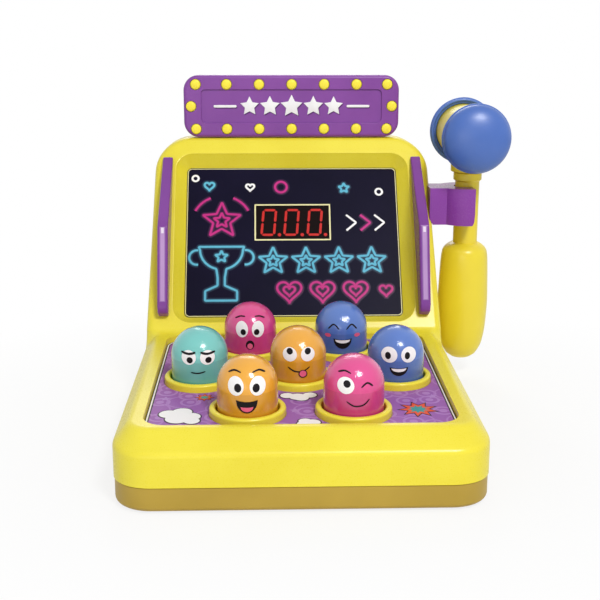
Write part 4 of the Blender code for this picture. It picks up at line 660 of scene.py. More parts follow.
# Flat inks of the printed sheets and faces, each even, with a film's low sheen; the shadow ink is painted
# shadow
INK_TONES = {
    "lilac": ("#B387C8", "#AC80C1"), "white": ("#FBFAFA", "#F3F2F3"), "black": ("#19161A", "#131014"),
    "red": ("#E9552F", "#E04B27"), "teal": ("#3F9C9A", "#388F8E"), "rose": ("#E8688C", "#E05C82"),
    "cream": ("#F6F0B8", "#EFE8AC"), "led": ("#D22924", "#C82520"), "shadow": ("#57306A", "#4F2A61"),
    "cyan": ("#66C0DA", "#5AB2CF"), "cyan_halo": ("#2A566E", "#244D64"), "cyan_glow": ("#172A42", "#13243A"),
    "magenta": ("#CF3189", "#C42A80"), "magenta_halo": ("#6A1D56", "#5E194C"),
    "magenta_glow": ("#33133A", "#2C1033"),
}
INKS = {name: moulded(f"ink_{name}", light, dark, 0.4, relief=0.002, specular=0.15)
        for name, (light, dark) in INK_TONES.items()}


# Rings in the deck's ink: spacing in mm, inner and outer share of a cell, shift in mm, and colour
INK_RINGS = (
    (15.0, 0.30, 0.40, 0.0, "#AD7DC1"),
    (15.0, 0.0, 0.15, 0.0, "#AD7DC1"),
    (22.0, 0.36, 0.41, 9.0, "#A976BD"),
)


def printed_purple():
    """The deck sheet's ink: purple, with rings of a lighter tone scattered like bubbles."""
    finish = moulded("printed_sheet_purple", "#9B60B0", "#955AAA", 0.4, relief=0.002, specular=0.15)
    tree = finish.node_tree
    shader = tree.nodes["Principled BSDF"]
    tone = shader.inputs["Base Color"].links[0].from_socket
    place = add_node(tree, "ShaderNodeTexCoord").outputs["Object"]
    for size, low, high, shift, code in INK_RINGS:
        moved = add_node(tree, "ShaderNodeVectorMath", {0: place}, operation="ADD")
        moved.inputs[1].default_value = (shift * MM, shift * MM, 0)
        cells = add_node(tree, "ShaderNodeTexVoronoi", {"Vector": moved.outputs["Vector"]},
                         inputs={"Scale": 1 / (size * MM), "Randomness": 0.75}, voronoi_dimensions="2D")
        inside = add_node(tree, "ShaderNodeMath", {0: cells.outputs["Distance"]}, operation="COMPARE")
        inside.inputs[1].default_value = (low + high) / 2
        inside.inputs[2].default_value = (high - low) / 2
        mix = add_node(tree, "ShaderNodeMixRGB", {"Fac": inside.outputs["Value"], "Color1": tone},
                       inputs={"Color2": hex_colour(code)})
        tone = mix.outputs["Color"]
    tree.links.new(tone, shader.inputs["Base Color"])
    return finish


# Printed polyester sheet of the deck
SHEET_PURPLE = printed_purple()


# Housing


def half_width(height):
    """Half the width across the drafted side walls at a height."""
    return HALF_WIDTH - math.tan(DRAFT) * max(height - WAIST_HEIGHT, 0)


def housing_stations(inset):
    """Stations along the right half of the housing's edge, from the front to the top.

    Each holds the rim's inner point, its outer point and the direction out of the top there.
    """
    half_gain = inset / 2
    stations = []

    def rim(y):
        return RIM_HEIGHT + TILT_SLOPE * y - inset / math.cos(DECK_TILT)

    chamfer = SIDE_CHAMFER - half_gain
    drop = CHAMFER_DROP - half_gain
    rim_front = -RIM_FRONT + half_gain
    wall_front = -FRONT_REACH + inset
    corner = CORNER_RADIUS - inset
    wall_half = half_width(rim(wall_front) - drop) - inset
    rim_half = wall_half - chamfer
    ahead = Vector((0, -math.cos(DECK_TILT), -math.sin(DECK_TILT)))
    sideways = Vector((1, 0, 0))
    stations.append((Vector((0, rim_front, rim(rim_front))), Vector((0, wall_front, rim(wall_front) - drop)),
                     ahead))
    for step in range(STEPS + 1):
        turn = QUARTER * step / STEPS
        inner_y = rim_front + RIM_RADIUS * (1 - math.cos(turn))
        outer_y = wall_front + corner * (1 - math.cos(turn))
        inner = Vector((rim_half - RIM_RADIUS * (1 - math.sin(turn)), inner_y, rim(inner_y)))
        outer = Vector((wall_half - corner * (1 - math.sin(turn)), outer_y, rim(outer_y) - drop))
        stations.append((inner, outer, ahead * math.cos(turn) + sideways * math.sin(turn)))

    rise = QUARTER - FACE_LEAN
    bend = rise - DECK_TILT
    meet = math.tan(bend / 2)
    fillet = FOOT_FILLET + inset
    foot_y = FACE_START + inset * meet * math.cos(DECK_TILT) + inset * math.sin(DECK_TILT)
    foot_z = rim(foot_y)
    start_y = foot_y - fillet * meet * math.cos(DECK_TILT)
    centre = Vector((start_y - fillet * math.sin(DECK_TILT), rim(start_y) + fillet * math.cos(DECK_TILT)))
    for step in range(STEPS + 1):
        share = step / STEPS
        angle = DECK_TILT + bend * share
        into = Vector((math.sin(angle), -math.cos(angle)))
        point = centre + into * fillet
        under = point + into * (drop + (FACE_EDGE - drop) * share)
        width = chamfer + (FACE_CHAMFER - half_gain - chamfer) * share
        side = half_width(under.y) - inset
        stations.append((Vector((side - width, *point)), Vector((side, *under)), sideways))

    along = Vector((math.cos(rise), math.sin(rise)))
    into = Vector((math.sin(rise), -math.cos(rise)))
    foot = Vector((foot_y, foot_z))
    length = (FACE_TOP_Z - inset - foot_z) / along.y
    corner = FACE_CORNER - inset
    side = half_width((foot + along * (length - corner)).y) - inset
    for step in range(STEPS + 1):
        turn = QUARTER * step / STEPS
        edge = FACE_EDGE + (TOP_EDGE - FACE_EDGE) * step / STEPS
        inner_x = side - FACE_CHAMFER + half_gain - (corner - FACE_CHAMFER) * (1 - math.cos(turn))
        inner = foot + along * (length - TOP_EDGE - (corner - TOP_EDGE) * (1 - math.sin(turn)))
        outer_x = side - corner * (1 - math.cos(turn))
        backwards = into.lerp(Vector((1, 0)), step / STEPS).normalized()
        outer = foot + along * (length - corner * (1 - math.sin(turn))) + backwards * edge
        outward = sideways * math.cos(turn) + Vector((0, *along)) * math.sin(turn)
        stations.append((Vector((inner_x, *inner)), Vector((outer_x, *outer)), outward))
    stations.append((Vector((0, *inner)), Vector((0, *outer)), Vector((0, *along))))
    return stations


def bow(start, corner, end, steps=4):
    """A round from one point to another that leans towards a corner."""
    shares = [step / steps for step in range(steps + 1)]
    return [start * (1 - t) ** 2 + corner * (2 * t * (1 - t)) + end * t ** 2 for t in shares]


def housing_form(name, inset, bottom, rear, softness):
    """The housing's outer form, its rim softly rounded, closed flat at the bottom and rear."""
    stations = housing_stations(inset)
    corner_end = STEPS + 1
    top_start = len(stations) - STEPS - 2
    last = len(stations) - 1
    spread = half_width(bottom) - inset - stations[corner_end][1].x
    shape = bmesh.new()
    rows = []
    feet = []
    for index, (inner, outer, outward) in enumerate(stations):
        across = (outer - inner).normalized()
        reach = min(softness, 0.48 * (outer - inner).length)
        foot = Vector((outer.x + spread if outer.x > 0 else 0, outer.y, bottom))
        if index <= corner_end:
            down = (foot - outer).normalized()
            feet.append(shape.verts.new(foot))
        elif index < top_start:
            down = foot_direction(stations, index).normalized()
        else:
            down = Vector((0, 1, 0))
        points = bow(inner - outward * reach, inner, inner + across * reach)
        points += bow(outer - across * reach, outer, outer + down * reach)
        rows.append([shape.verts.new((0, points[0].y, points[0].z))] + [shape.verts.new(p) for p in points])
    rows_back = [shape.verts.new((row[-1].co.x, rear, row[-1].co.z)) for row in rows[top_start:]]
    rear_foot = shape.verts.new((feet[-1].co.x, rear, bottom))
    rear_waist = shape.verts.new((feet[-1].co.x, rear, WAIST_HEIGHT))
    rear_middle = shape.verts.new((0, rear, bottom))
    for near, far in zip(rows, rows[1:]):
        for column in range(len(near) - 1):
            shape.faces.new((near[column], near[column + 1], far[column + 1], far[column]))
    for index in range(corner_end):
        shape.faces.new((rows[index][-1], feet[index], feet[index + 1], rows[index + 1][-1]))
    for index in range(last - top_start):
        shape.faces.new((rows[top_start + index][-1], rows_back[index], rows_back[index + 1],
                         rows[top_start + index + 1][-1]))
    edge = [rows[index][-1] for index in range(top_start, corner_end - 1, -1)]
    shape.faces.new((feet[-1], rear_foot, rear_waist, edge[-1]))
    shape.faces.new([rear_waist, rows_back[0]] + edge)
    shape.faces.new([rear_waist, rear_foot, rear_middle] + rows_back[::-1])
    shape.faces.new([rear_foot] + feet[::-1] + [rear_middle])
    bmesh.ops.remove_doubles(shape, verts=shape.verts, dist=MERGE)
    bmesh.ops.dissolve_degenerate(shape, edges=shape.edges, dist=MERGE)
    form = from_shape(name, shape)
    worked(form, "MIRROR", merge_threshold=MERGE)
    take(form)
    bpy.ops.object.mode_set(mode="EDIT")
    return closed(form)


def foot_direction(stations, index):
    """Down the side wall, square to the side view of the rim."""
    step = stations[index + 1][1] - stations[index - 1][1]
    down = Vector((0, step.z, -step.y))
    down.x = math.tan(DRAFT) * -down.z
    return down


def rear_outline(inset, bottom):
    """Outline of the housing's rear edge as (x, z) points, right side first."""
    stations = housing_stations(inset)[-STEPS - 2:-1]
    side = half_width(bottom) - inset
    right = [(side, bottom), (side, WAIST_HEIGHT)] + [(pair[1].x, pair[1].z) for pair in stations]
    return right + [(-x, z) for x, z in reversed(right)]


def screen_rings(grow, depths, mouth=0.0):
    """Rings of the sloped screen recess, or of the wall round it when grown.

    The depths are those of the mouth, the slope's start, its end and the floor. A mouth rounds the lip.
    """
    half = SCREEN_WIDTH / 2 + GAP
    low = SCREEN_START - GAP
    high = SCREEN_START + SCREEN_HEIGHT + GAP

    def ring(extra, side, bottom, top, radius, depth):
        outline = rounded_rectangle(-half - side - extra, half + side + extra, low - bottom - extra,
                                    high + top + extra, radius + extra)
        return [(x, y, -depth) for x, y in outline]

    rings = []
    if mouth:
        for share in (1.0, 0.6, 0.3, 0.1):
            rings.append(ring(mouth * share, SLOPE_SIDE, SLOPE_BOTTOM, SLOPE_TOP, LIP_RADIUS,
                              mouth * (1 - math.sqrt(1 - (1 - share) ** 2)) * 0.9))
        rings.insert(0, ring(mouth, SLOPE_SIDE, SLOPE_BOTTOM, SLOPE_TOP, LIP_RADIUS, -OVERRUN))
    else:
        rings.append(ring(grow, SLOPE_SIDE, SLOPE_BOTTOM, SLOPE_TOP, LIP_RADIUS, depths[0]))
    rings.append(ring(grow, SLOPE_SIDE, SLOPE_BOTTOM, SLOPE_TOP, LIP_RADIUS, depths[1]))
    rings.append(ring(grow, 0, 0, 0, SCREEN_RADIUS, depths[2]))
    rings.append(ring(grow, 0, 0, 0, SCREEN_RADIUS, depths[3]))
    return rings


def collar():
    """One raised ring round a mole, with a soft rim."""
    low = -DECK_UNDERSIDE - BITE
    inner = COLLAR_ROUND * 0.7
    profile = [(HOLE_RADIUS, low), (HOLE_RADIUS, COLLAR_TOP - COLLAR_ROUND)]
    profile += arc(HOLE_RADIUS + inner, COLLAR_TOP - inner, inner, 2 * QUARTER, QUARTER, 5)
    profile += arc(COLLAR_RADIUS - COLLAR_ROUND, COLLAR_TOP - COLLAR_ROUND, COLLAR_ROUND, QUARTER, 0, 6)
    profile += [(COLLAR_RADIUS, low), (HOLE_RADIUS, low)]
    return turned("collar", profile)


def upper_housing():
    """One moulding: deck with its recess and collars, and the upright with its screen recess."""
    housing = housing_form("upper_housing_moulding", 0, SHELL_BOTTOM, COVER_SPLIT, EDGE_SOFTNESS)
    settle(housing, GAME)
    hollow = housing_form("hollow", WALL, -OVERRUN, COVER_SPLIT + OVERRUN, 0)
    cut(housing, settle(hollow, GAME))
    seat = rounded_rectangle(-RECESS_HALF - DECK_FLOOR, RECESS_HALF + DECK_FLOOR,
                             -RECESS_FRONT - DECK_FLOOR / 2, RECESS_BACK + DECK_FLOOR / 2, RECESS_RADIUS)
    weld(housing, settle(slab("deck_seat", seat, -DECK_UNDERSIDE, -WALL + BITE), DECK))
    recess = rounded_rectangle(-RECESS_HALF, RECESS_HALF, -RECESS_FRONT, RECESS_BACK, RECESS_RADIUS)
    tool = slab("deck_recess", recess, -RECESS_DEPTH, OVERRUN)
    cut(housing, settle(tool, DECK))
    holes = [disc("hole", HOLE_RADIUS + BITE, -DECK_UNDERSIDE - OVERRUN, OVERRUN, place)
             for place in MOLE_PLACES]
    cut(housing, settle(gather(*holes), DECK))
    wall = skin("screen_seat", screen_rings(DECK_FLOOR, (BITE, BITE + GAP, SCREEN_DROP, SCREEN_UNDERSIDE)))
    weld(housing, settle(wall, FACE))
    rings = screen_rings(0, (0, LIP_ROUND, SCREEN_DROP, SCREEN_FLOOR), LIP_ROUND)
    cut(housing, settle(skin("screen_recess", rings), FACE))
    opening = block("display_opening", (-DISPLAY_WIDTH / 2, WINDOW_MIDDLE - DISPLAY_HEIGHT / 2,
                                        -SCREEN_UNDERSIDE - OVERRUN),
                    (DISPLAY_WIDTH / 2, WINDOW_MIDDLE + DISPLAY_HEIGHT / 2, -SCREEN_DROP))
    cut(housing, settle(opening, FACE))
    to_deck = DECK.inverted()

    def on_recess_lip(point):
        place = to_deck @ point
        return abs(place.z) < GAP and max(abs(place.x) - RECESS_HALF, place.y - RECESS_BACK,
                                          -RECESS_FRONT - place.y) < GAP

    round_where(housing, on_recess_lip, RECESS_LIP_ROUND, 3)
    first = collar()
    rings = [twin(first, f"collar_{index}", DECK @ Matrix.Translation((x, y, 0)))
             for index, (x, y) in enumerate(MOLE_PLACES)]
    bpy.data.objects.remove(first)
    gather(housing, *rings)
    finished(housing, YELLOW, "housing", "yellow_plastic", "upper_housing")


def corner_places(from_side, from_front, from_back):
    """Four places in the base, set in from its sides, front and back."""
    x = HALF_WIDTH - from_side
    front = -FRONT_REACH + from_front
    back = BACK_REACH - from_back
    return [(-x, front), (x, front), (-x, back), (x, back)]


TRAY_SCREWS = corner_places(16 * MM, 21 * MM, 22 * MM)
FOOT_PLACES = corner_places(35 * MM, 19 * MM, 19 * MM)
COVER_SCREWS = [(x * MM, z * MM) for x in (-84, 84) for z in (30, 130)]


def rear_cover():
    """A shallow dish that closes the back of the upright, with a slot for the power knob."""
    low = SHELL_BOTTOM
    front = COVER_SPLIT + GAP
    stages = [(0, front), (0, BACK_REACH - COVER_ROUND)]
    stages += [(COVER_ROUND * (1 - math.cos(turn)), BACK_REACH - COVER_ROUND * (1 - math.sin(turn)))
               for turn in (QUARTER * step / 6 for step in range(1, 7))]
    rings = [[(x, y, z) for x, z in rear_outline(inset, low)] for inset, y in stages]
    cover = skin("rear_cover_moulding", rings)
    hollow = [[(x, y, z) for x, z in rear_outline(TRAY_WALL, -OVERRUN)]
              for y in (COVER_SPLIT - OVERRUN, BACK_REACH - TRAY_WALL)]
    cut(cover, skin("cover_hollow", hollow))
    left = KNOB_X - KNOB_HALF_WIDTH - GAP
    right = KNOB_X + KNOB_HALF_WIDTH + KNOB_TRAVEL + GAP
    cut(cover, block("knob_slot", (left, BACK_REACH - COVER_DEPTH, KNOB_LOW - GAP),
                     (right, BACK_REACH + OVERRUN, KNOB_HIGH + GAP)))
    for x, z in COVER_SCREWS:
        cut(cover, settle(disc("screw_seat", 4.2 * MM, -OVERRUN, 1.2 * MM, sides=40), rear_place(x, z)))
    settle(cover, GAME)
    finished(cover, YELLOW, "housing", "yellow_plastic", "rear_cover")


def rear_place(x, z):
    """A plane on the back of the cover whose third axis points into it."""
    return Matrix.Translation((x, BACK_REACH, z)) @ Matrix.Rotation(QUARTER, 4, "X")


def power_knob():
    """The slide knob: a block with grip ribs across its outer face."""
    knob = block("power_knob_ribbed", (KNOB_X - KNOB_HALF_WIDTH, BACK_REACH - 2.7 * MM, KNOB_LOW),
                 (KNOB_X + KNOB_HALF_WIDTH, BACK_REACH - 0.4 * MM, KNOB_HIGH))
    for index in range(-2, 3):
        x = KNOB_X + index * 1.1 * MM
        cut(knob, block("groove", (x - 0.25 * MM, BACK_REACH - 0.9 * MM, KNOB_LOW - BITE),
                        (x + 0.25 * MM, BACK_REACH, KNOB_HIGH + BITE)))
    settle(knob, GAME)
    finished(knob, BLACK_PLASTIC, "power_slider", "black_plastic", "power_knob")


def base_rings(stages):
    """The base's plan at stages of inset and height."""
    return [[(x, y, height) for x, y in base_outline(inset)] for inset, height in stages]


def base_tray():
    """The lower shell: a dish with a tongue that stands inside the housing's lower edge."""
    turns = [QUARTER * step / 6 for step in range(7)]
    stages = [(TRAY_INSET + TRAY_ROUND * (1 - math.sin(turn)),
               TRAY_BOTTOM + TRAY_ROUND * (1 - math.cos(turn))) for turn in turns]
    tongue = WALL + GAP
    stages += [(TRAY_INSET, SEAM_HEIGHT - GAP), (TRAY_INSET + GAP, SEAM_HEIGHT),
               (tongue, SEAM_HEIGHT), (tongue, SEAM_HEIGHT + TONGUE_RISE)]
    tray = skin("base_tray_moulding", base_rings(stages))
    inner = tongue + 1.4 * MM
    side = TRAY_INSET + TRAY_WALL
    hollow = ((side, FLOOR_TOP), (side, SEAM_HEIGHT - 4 * MM), (inner, SEAM_HEIGHT - 2 * MM),
              (inner, SEAM_HEIGHT + TONGUE_RISE + OVERRUN))
    cut(tray, skin("tray_hollow", base_rings(hollow)))
    add_tray_details(tray)
    settle(tray, GAME)
    finished(tray, MUSTARD, "housing", "mustard_plastic", "base_tray")


def battery_rectangle(grow):
    """Plan of the battery box, grown on every side."""
    return rounded_rectangle(-BATTERY_HALF_X - grow, BATTERY_HALF_X + grow,
                             BATTERY_Y - BATTERY_HALF_Y - grow, BATTERY_Y + BATTERY_HALF_Y + grow,
                             BITE + grow, 6)


def add_tray_details(tray):
    """Battery box with its door seat, screw posts, foot seats and the speaker grille."""
    low = FLOOR_TOP - BITE
    seat_top = DOOR_TOP + GAP
    weld(tray, slab("battery_walls", battery_rectangle(2 * MM), low, BATTERY_CEILING + 2 * MM),
         slab("door_rim", battery_rectangle(10 * MM), low, DOOR_TOP + 2.3 * MM),
         disc("door_post", 7.5 * MM, low, FLOOR_TOP + 12 * MM, DOOR_SCREW, 32))
    cut(tray, slab("battery_space", battery_rectangle(0), -OVERRUN, BATTERY_CEILING),
        slab("door_seat", battery_rectangle(DOOR_OVERLAP + GAP), -OVERRUN, seat_top),
        disc("ear_seat", DOOR_EAR_RADIUS + GAP, -OVERRUN, seat_top, DOOR_SCREW, 48),
        disc("door_pilot", SHANK_HOLE_RADIUS, -OVERRUN, FLOOR_TOP + 11 * MM, DOOR_SCREW, 24))
    half = KNUCKLE_HALF + GAP
    for middle in (-KNUCKLE_SPREAD, KNUCKLE_SPREAD):
        cut(tray, block("notch", (middle - half, HINGE_Y - BITE - GAP, -OVERRUN),
                        (middle + half, HINGE_Y + KNUCKLE_RUN, seat_top)))
    weld(tray, *[disc("boss", 5.2 * MM, low, FLOOR_TOP + 6 * MM, place, 32) for place in TRAY_SCREWS])
    for name, radius, start, end, sides, places in (
            ("head_seat", HEAD_SEAT_RADIUS, -OVERRUN, FLOOR_TOP + GAP, 48, TRAY_SCREWS),
            ("shank_hole", SHANK_HOLE_RADIUS, 0, FLOOR_TOP + 17 * MM, 24, TRAY_SCREWS),
            ("foot_seat", FOOT_RADIUS + GAP, -OVERRUN, TRAY_BOTTOM + 1.3 * MM, 48, FOOT_PLACES)):
        cut(tray, gather(*[disc(name, radius, start, end, place, sides) for place in places]))
    for index in range(-2, 3):
        offset = index * GRILLE_PITCH
        reach = math.sqrt(GRILLE_RADIUS ** 2 - offset ** 2)
        slot = rounded_rectangle(SPEAKER_X - reach, SPEAKER_X + reach, BATTERY_Y + offset - GRILLE_HALF,
                                 BATTERY_Y + offset + GRILLE_HALF, 1.25 * MM, 5)
        cut(tray, slab("grille_slot", slot, -OVERRUN, FLOOR_TOP + BITE))


def feet():
    """Rubber feet with a rounded edge."""
    profile = [(0, 0), (5.4 * MM, 0)]
    profile += arc(FOOT_RADIUS - FOOT_ROUND, FOOT_ROUND, FOOT_ROUND, -QUARTER, 0, 5)
    foot = turned("foot", profile + [(FOOT_RADIUS, FOOT_HEIGHT), (0, FOOT_HEIGHT)])
    for index, (x, y) in enumerate(FOOT_PLACES):
        piece = twin(foot, f"rubber_foot_{index + 1}", GAME @ Matrix.Translation((x, y, 0)))
        finished(piece, RUBBER, "housing", "foot_rubber", f"foot_{index + 1}")
    bpy.data.objects.remove(foot)


def screws():
    """Pan-head screws with a cross recess."""
    edge = SCREW_HEAD_ROUND
    profile = [(0, SCREW_LENGTH), (SHANK_RADIUS, SCREW_LENGTH - SHANK_RADIUS), (SHANK_RADIUS, 0),
               (SCREW_HEAD_RADIUS, 0), (SCREW_HEAD_RADIUS, -edge)]
    profile += arc(SCREW_HEAD_RADIUS - edge, -edge, edge, 0, -QUARTER, 4) + [(0, -2 * edge)]
    screw = turned("screw", profile, 32)
    for across, along in ((2.0 * MM, 0.35 * MM), (0.35 * MM, 2.0 * MM)):
        cut(screw, block("cross", (-across, -along, -3 * MM), (across, along, -0.8 * MM)))
    places = [(f"tray_screw_{index + 1}", "housing", (x, y, FLOOR_TOP))
              for index, (x, y) in enumerate(TRAY_SCREWS)]
    places.append(("battery_door_screw", "battery_cover", (*DOOR_SCREW, TRAY_BOTTOM + 0.6 * MM)))
    for node, body, place in places:
        piece = twin(screw, f"{node}_cross_head", GAME @ Matrix.Translation(place))
        finished(piece, STEEL, body, "spring_steel", node)
    sunk = Matrix.Translation((0, 0, 2.0 * MM))
    for index, (x, z) in enumerate(COVER_SCREWS):
        piece = twin(screw, f"cover_screw_{index + 1}", GAME @ rear_place(x, z) @ sunk)
        finished(piece, STEEL, "housing", "spring_steel")
    bpy.data.objects.remove(screw)


def battery_door():
    """The door: a plate with an ear for its screw, two knuckles, and grip grooves."""
    door = slab("battery_door_moulding", battery_rectangle(DOOR_OVERLAP), TRAY_BOTTOM, DOOR_TOP)
    weld(door, disc("ear", DOOR_EAR_RADIUS, TRAY_BOTTOM, DOOR_TOP, DOOR_SCREW, 48))
    outline = arc(HINGE_Y, TRAY_BOTTOM + BITE, BITE, QUARTER, 3 * QUARTER, 8)
    outline += [(HINGE_Y + KNUCKLE_RUN, TRAY_BOTTOM), (HINGE_Y + KNUCKLE_RUN, DOOR_TOP)]
    for middle in (-KNUCKLE_SPREAD, KNUCKLE_SPREAD):
        knuckle = slab("knuckle", outline, middle - KNUCKLE_HALF, middle + KNUCKLE_HALF)
        weld(door, settle(knuckle, EDGE_ON))
    cut(door, disc("hole", SHANK_HOLE_RADIUS, -OVERRUN, DOOR_TOP + OVERRUN, DOOR_SCREW, 24),
        disc("head_seat", HEAD_SEAT_RADIUS, -OVERRUN, TRAY_BOTTOM + 0.9 * MM, DOOR_SCREW, 48))
    for index in range(-2, 3):
        y = BATTERY_Y + index * 4 * MM
        cut(door, block("groove", (-9 * MM, y - 0.6 * MM, 0), (9 * MM, y + 0.6 * MM, TRAY_BOTTOM + 0.5 * MM)))
    settle(door, GAME)
    finished(door, MUSTARD, "battery_cover", "mustard_plastic", "battery_door")


# Deck print


def inked(piece, ink, plane, body="housing", slot="printed_sheet"):
    """Settles a print in its plane and gives it its ink."""
    settle(piece, plane)
    return finished(piece, INKS[ink], body, slot, weighted=False)


def patches(name, outlines, height):
    """Flat patches of ink, drawn as one filled curve: an outline inside another leaves a hole."""
    curve = bpy.data.curves.new(name, "CURVE")
    curve.dimensions = "2D"
    curve.fill_mode = "BOTH"
    curve.extrude = 0.015 * MM
    add_splines(curve, outlines, True)
    return as_print(curve, height)


def wires(name, paths, radius, resolution, cyclic):
    """Round wires along paths."""
    curve = bpy.data.curves.new(name, "CURVE")
    curve.dimensions = "3D"
    curve.bevel_depth = radius
    curve.bevel_resolution = resolution
    curve.use_fill_caps = True
    add_splines(curve, paths, cyclic)
    return as_print(curve, 0)


def strokes(name, paths, width, height, cyclic):
    """Lines of ink with a set width: round wires pressed flat."""
    flatness = 0.02
    corner = 0.8 * MM
    piece = wires(name, [eased_corners(path, corner, cyclic) for path in paths], width / 2, 1, cyclic)
    for vertex in piece.data.vertices:
        vertex.co.z = height + vertex.co.z * flatness
    return piece


def eased_corners(path, reach, cyclic):
    """The path with each corner rounded over a short reach."""
    points = [Vector(point) for point in path]
    line = [] if cyclic else [points[0]]
    for index in range(0 if cyclic else 1, len(points) if cyclic else len(points) - 1):
        corner = points[index]
        before = points[index - 1] - corner
        after = points[(index + 1) % len(points)] - corner
        line += bow(corner + before.normalized() * min(reach, before.length * 0.45), corner,
                    corner + after.normalized() * min(reach, after.length * 0.45), 3)
    return line if cyclic else line + [points[-1]]


def add_splines(curve, paths, cyclic):
    """Adds one line of points to a curve for each path."""
    for path in paths:
        spline = curve.splines.new("POLY")
        spline.points.add(len(path) - 1)
        for point, place in zip(spline.points, path):
            point.co = (*Vector(place).to_3d(), 1)
        spline.use_cyclic_u = cyclic


def as_print(curve, height):
    """The curve as a closed mesh, lifted to its height."""
    piece = bpy.data.objects.new(curve.name, curve)
    bpy.context.scene.collection.objects.link(piece)
    piece.location = (0, 0, height)
    take(piece)
    bpy.ops.object.convert(target="MESH")
    bpy.ops.object.transform_apply(location=True, rotation=True, scale=True)
    bpy.ops.object.mode_set(mode="EDIT")
    return closed(bpy.context.object)


def ring(x, y, radius, sides=28):
    """A circle's outline."""
    return arc(x, y, radius, 0, math.tau, sides)[:-1]


def star(x, y, radius, share=0.45, points=5, turn=0.0):
    """A star with its first point up, its inner corners at a share of its radius."""
    corners = []
    for index in range(2 * points):
        reach = radius if index % 2 == 0 else radius * share
        angle = QUARTER + turn + math.pi * index / points
        corners.append((x + reach * math.cos(angle), y + reach * math.sin(angle)))
    return corners


def heart(x, y, size):
    """A heart outline of the given width."""
    line = []
    for step in range(28):
        t = math.tau * step / 28
        line.append((x + size * 0.5 * math.sin(t) ** 3,
                     y + size * (13 * math.cos(t) - 5 * math.cos(2 * t) - 2 * math.cos(3 * t)
                                 - math.cos(4 * t)) / 32))
    return line


# Clouds of the deck print, as discs of x, y and radius in millimetres
CLOUDS = {
    "cloud_left": ((-60, -58, 5.5), (-67, -61, 6.5), (-72, -54, 5.5), (-65, -51, 5.5), (-59, -64, 4.4)),
    "cloud_middle": ((-7, -27, 4.0), (-1, -29, 5.0), (6, -26.5, 4.0), (1, -31, 4.2)),
    "cloud_right": ((26, -23, 4.2), (32, -25, 4.6), (37, -22, 3.4), (31, -21, 4.0)),
    "cloud_front": ((1, -70, 3.6), (6, -68, 4.2), (2, -66, 3.6)),
}
# Bursts as x, y and radius in millimetres, number of points and turn; small stars as x and y
BURSTS = ((65, -50, 12, 9, 0.2), (-54, -28.5, 6, 8, 0))
SMALL_STARS = ((-76, -30), (76, -30), (-3, -50), (-75, 30), (76, 32), (0, 30), (-46, -72), (47, -72))


def puff(name, blobs, height):
    """A white cloud with a dark outline, from overlapping discs."""
    for ink, grow, lift in (("black", 0.7 * MM, 0), ("white", 0, 0.05 * MM)):
        discs = [patches(f"{name}_{ink}", [ring(x * MM, y * MM, size * MM + grow)], height + lift)
                 for x, y, size in blobs]
        inked(weld(*discs), ink, DECK)


def deck_rectangle(inset):
    """Outline of the deck's recess, drawn in by an inset."""
    return rounded_rectangle(-RECESS_HALF + inset, RECESS_HALF - inset, -RECESS_FRONT + inset,
                             RECESS_BACK - inset, RECESS_RADIUS - inset)


def deck_sheet():
    """The printed sheet, cut out round the collars."""
    piece = slab("deck_sheet_print", deck_rectangle(GAP), -SHEET_DROP - SHEET_THICKNESS, -SHEET_DROP)
    cut(piece, gather(*[disc("hole", COLLAR_RADIUS + GAP, -OVERRUN * 2, OVERRUN, place)
                        for place in MOLE_PLACES]))
    settle(piece, DECK)
    finished(piece, SHEET_PURPLE, "housing", "printed_sheet", "deck_sheet")


def deck_print():
    """The sheet's border, bursts, clouds and stars, in layers of ink."""
    top = -SHEET_DROP + PRINT_LIFT
    for ink, outer, inner, lift in (("black", 0.3, 2.3, 0), ("white", 0.8, 1.6, 0.04)):
        lines = [deck_rectangle(outer * MM), deck_rectangle(inner * MM)]
        inked(patches(f"deck_border_{ink}", lines, top + lift * MM), ink, DECK)
    for ink, share, lift in (("black", 1.0, 0), ("red", 0.86, 0.04), ("teal", 0.5, 0.08)):
        bursts = [star(x * MM, y * MM, size * MM * share, 0.56, points, turn)
                  for x, y, size, points, turn in BURSTS]
        inked(patches(f"deck_bursts_{ink}", bursts, top + lift * MM), ink, DECK)
    for name, blobs in CLOUDS.items():
        puff(name, blobs, top + 0.12 * MM)
    stars = [star(x * MM, y * MM, 3.4 * MM) for x, y in SMALL_STARS]
    inked(patches("deck_stars", stars, top), "lilac", DECK)


# Moles


def mole_cap():
    """A hollow dome with a flange that stops it under the deck."""
    straight_top = COLLAR_TOP + MOLE_STRAIGHT
    inner = MOLE_RADIUS - MOLE_WALL
    profile = [(x, straight_top + z) for x, z in arc(0, 0, MOLE_RADIUS, QUARTER, 0, 20)]
    profile[0] = (0, straight_top + MOLE_RADIUS)
    profile += [(MOLE_RADIUS, -FLANGE_TOP), (FLANGE_RADIUS, -FLANGE_TOP), (FLANGE_RADIUS, -CAP_BOTTOM),
                (inner, -CAP_BOTTOM)]
    profile += [(x, straight_top + z) for x, z in arc(0, 0, inner, 0, QUARTER, 12)]
    profile[-1] = (0, straight_top + inner)
    return turned("mole_cap", profile, FINE)


def moles():
    """The seven domes in their colours."""
    cap = mole_cap()
    for name, x, y, colour in MOLES:
        piece = twin(cap, f"{name}_mole_dome", DECK @ Matrix.Translation((x, y, 0)))
        finished(piece, MOLE_FINISHES[colour], f"{name}_mole", f"{colour}_mole_plastic",
                 f"{name}_mole_cap", weighted=False)
    bpy.data.objects.remove(cap)


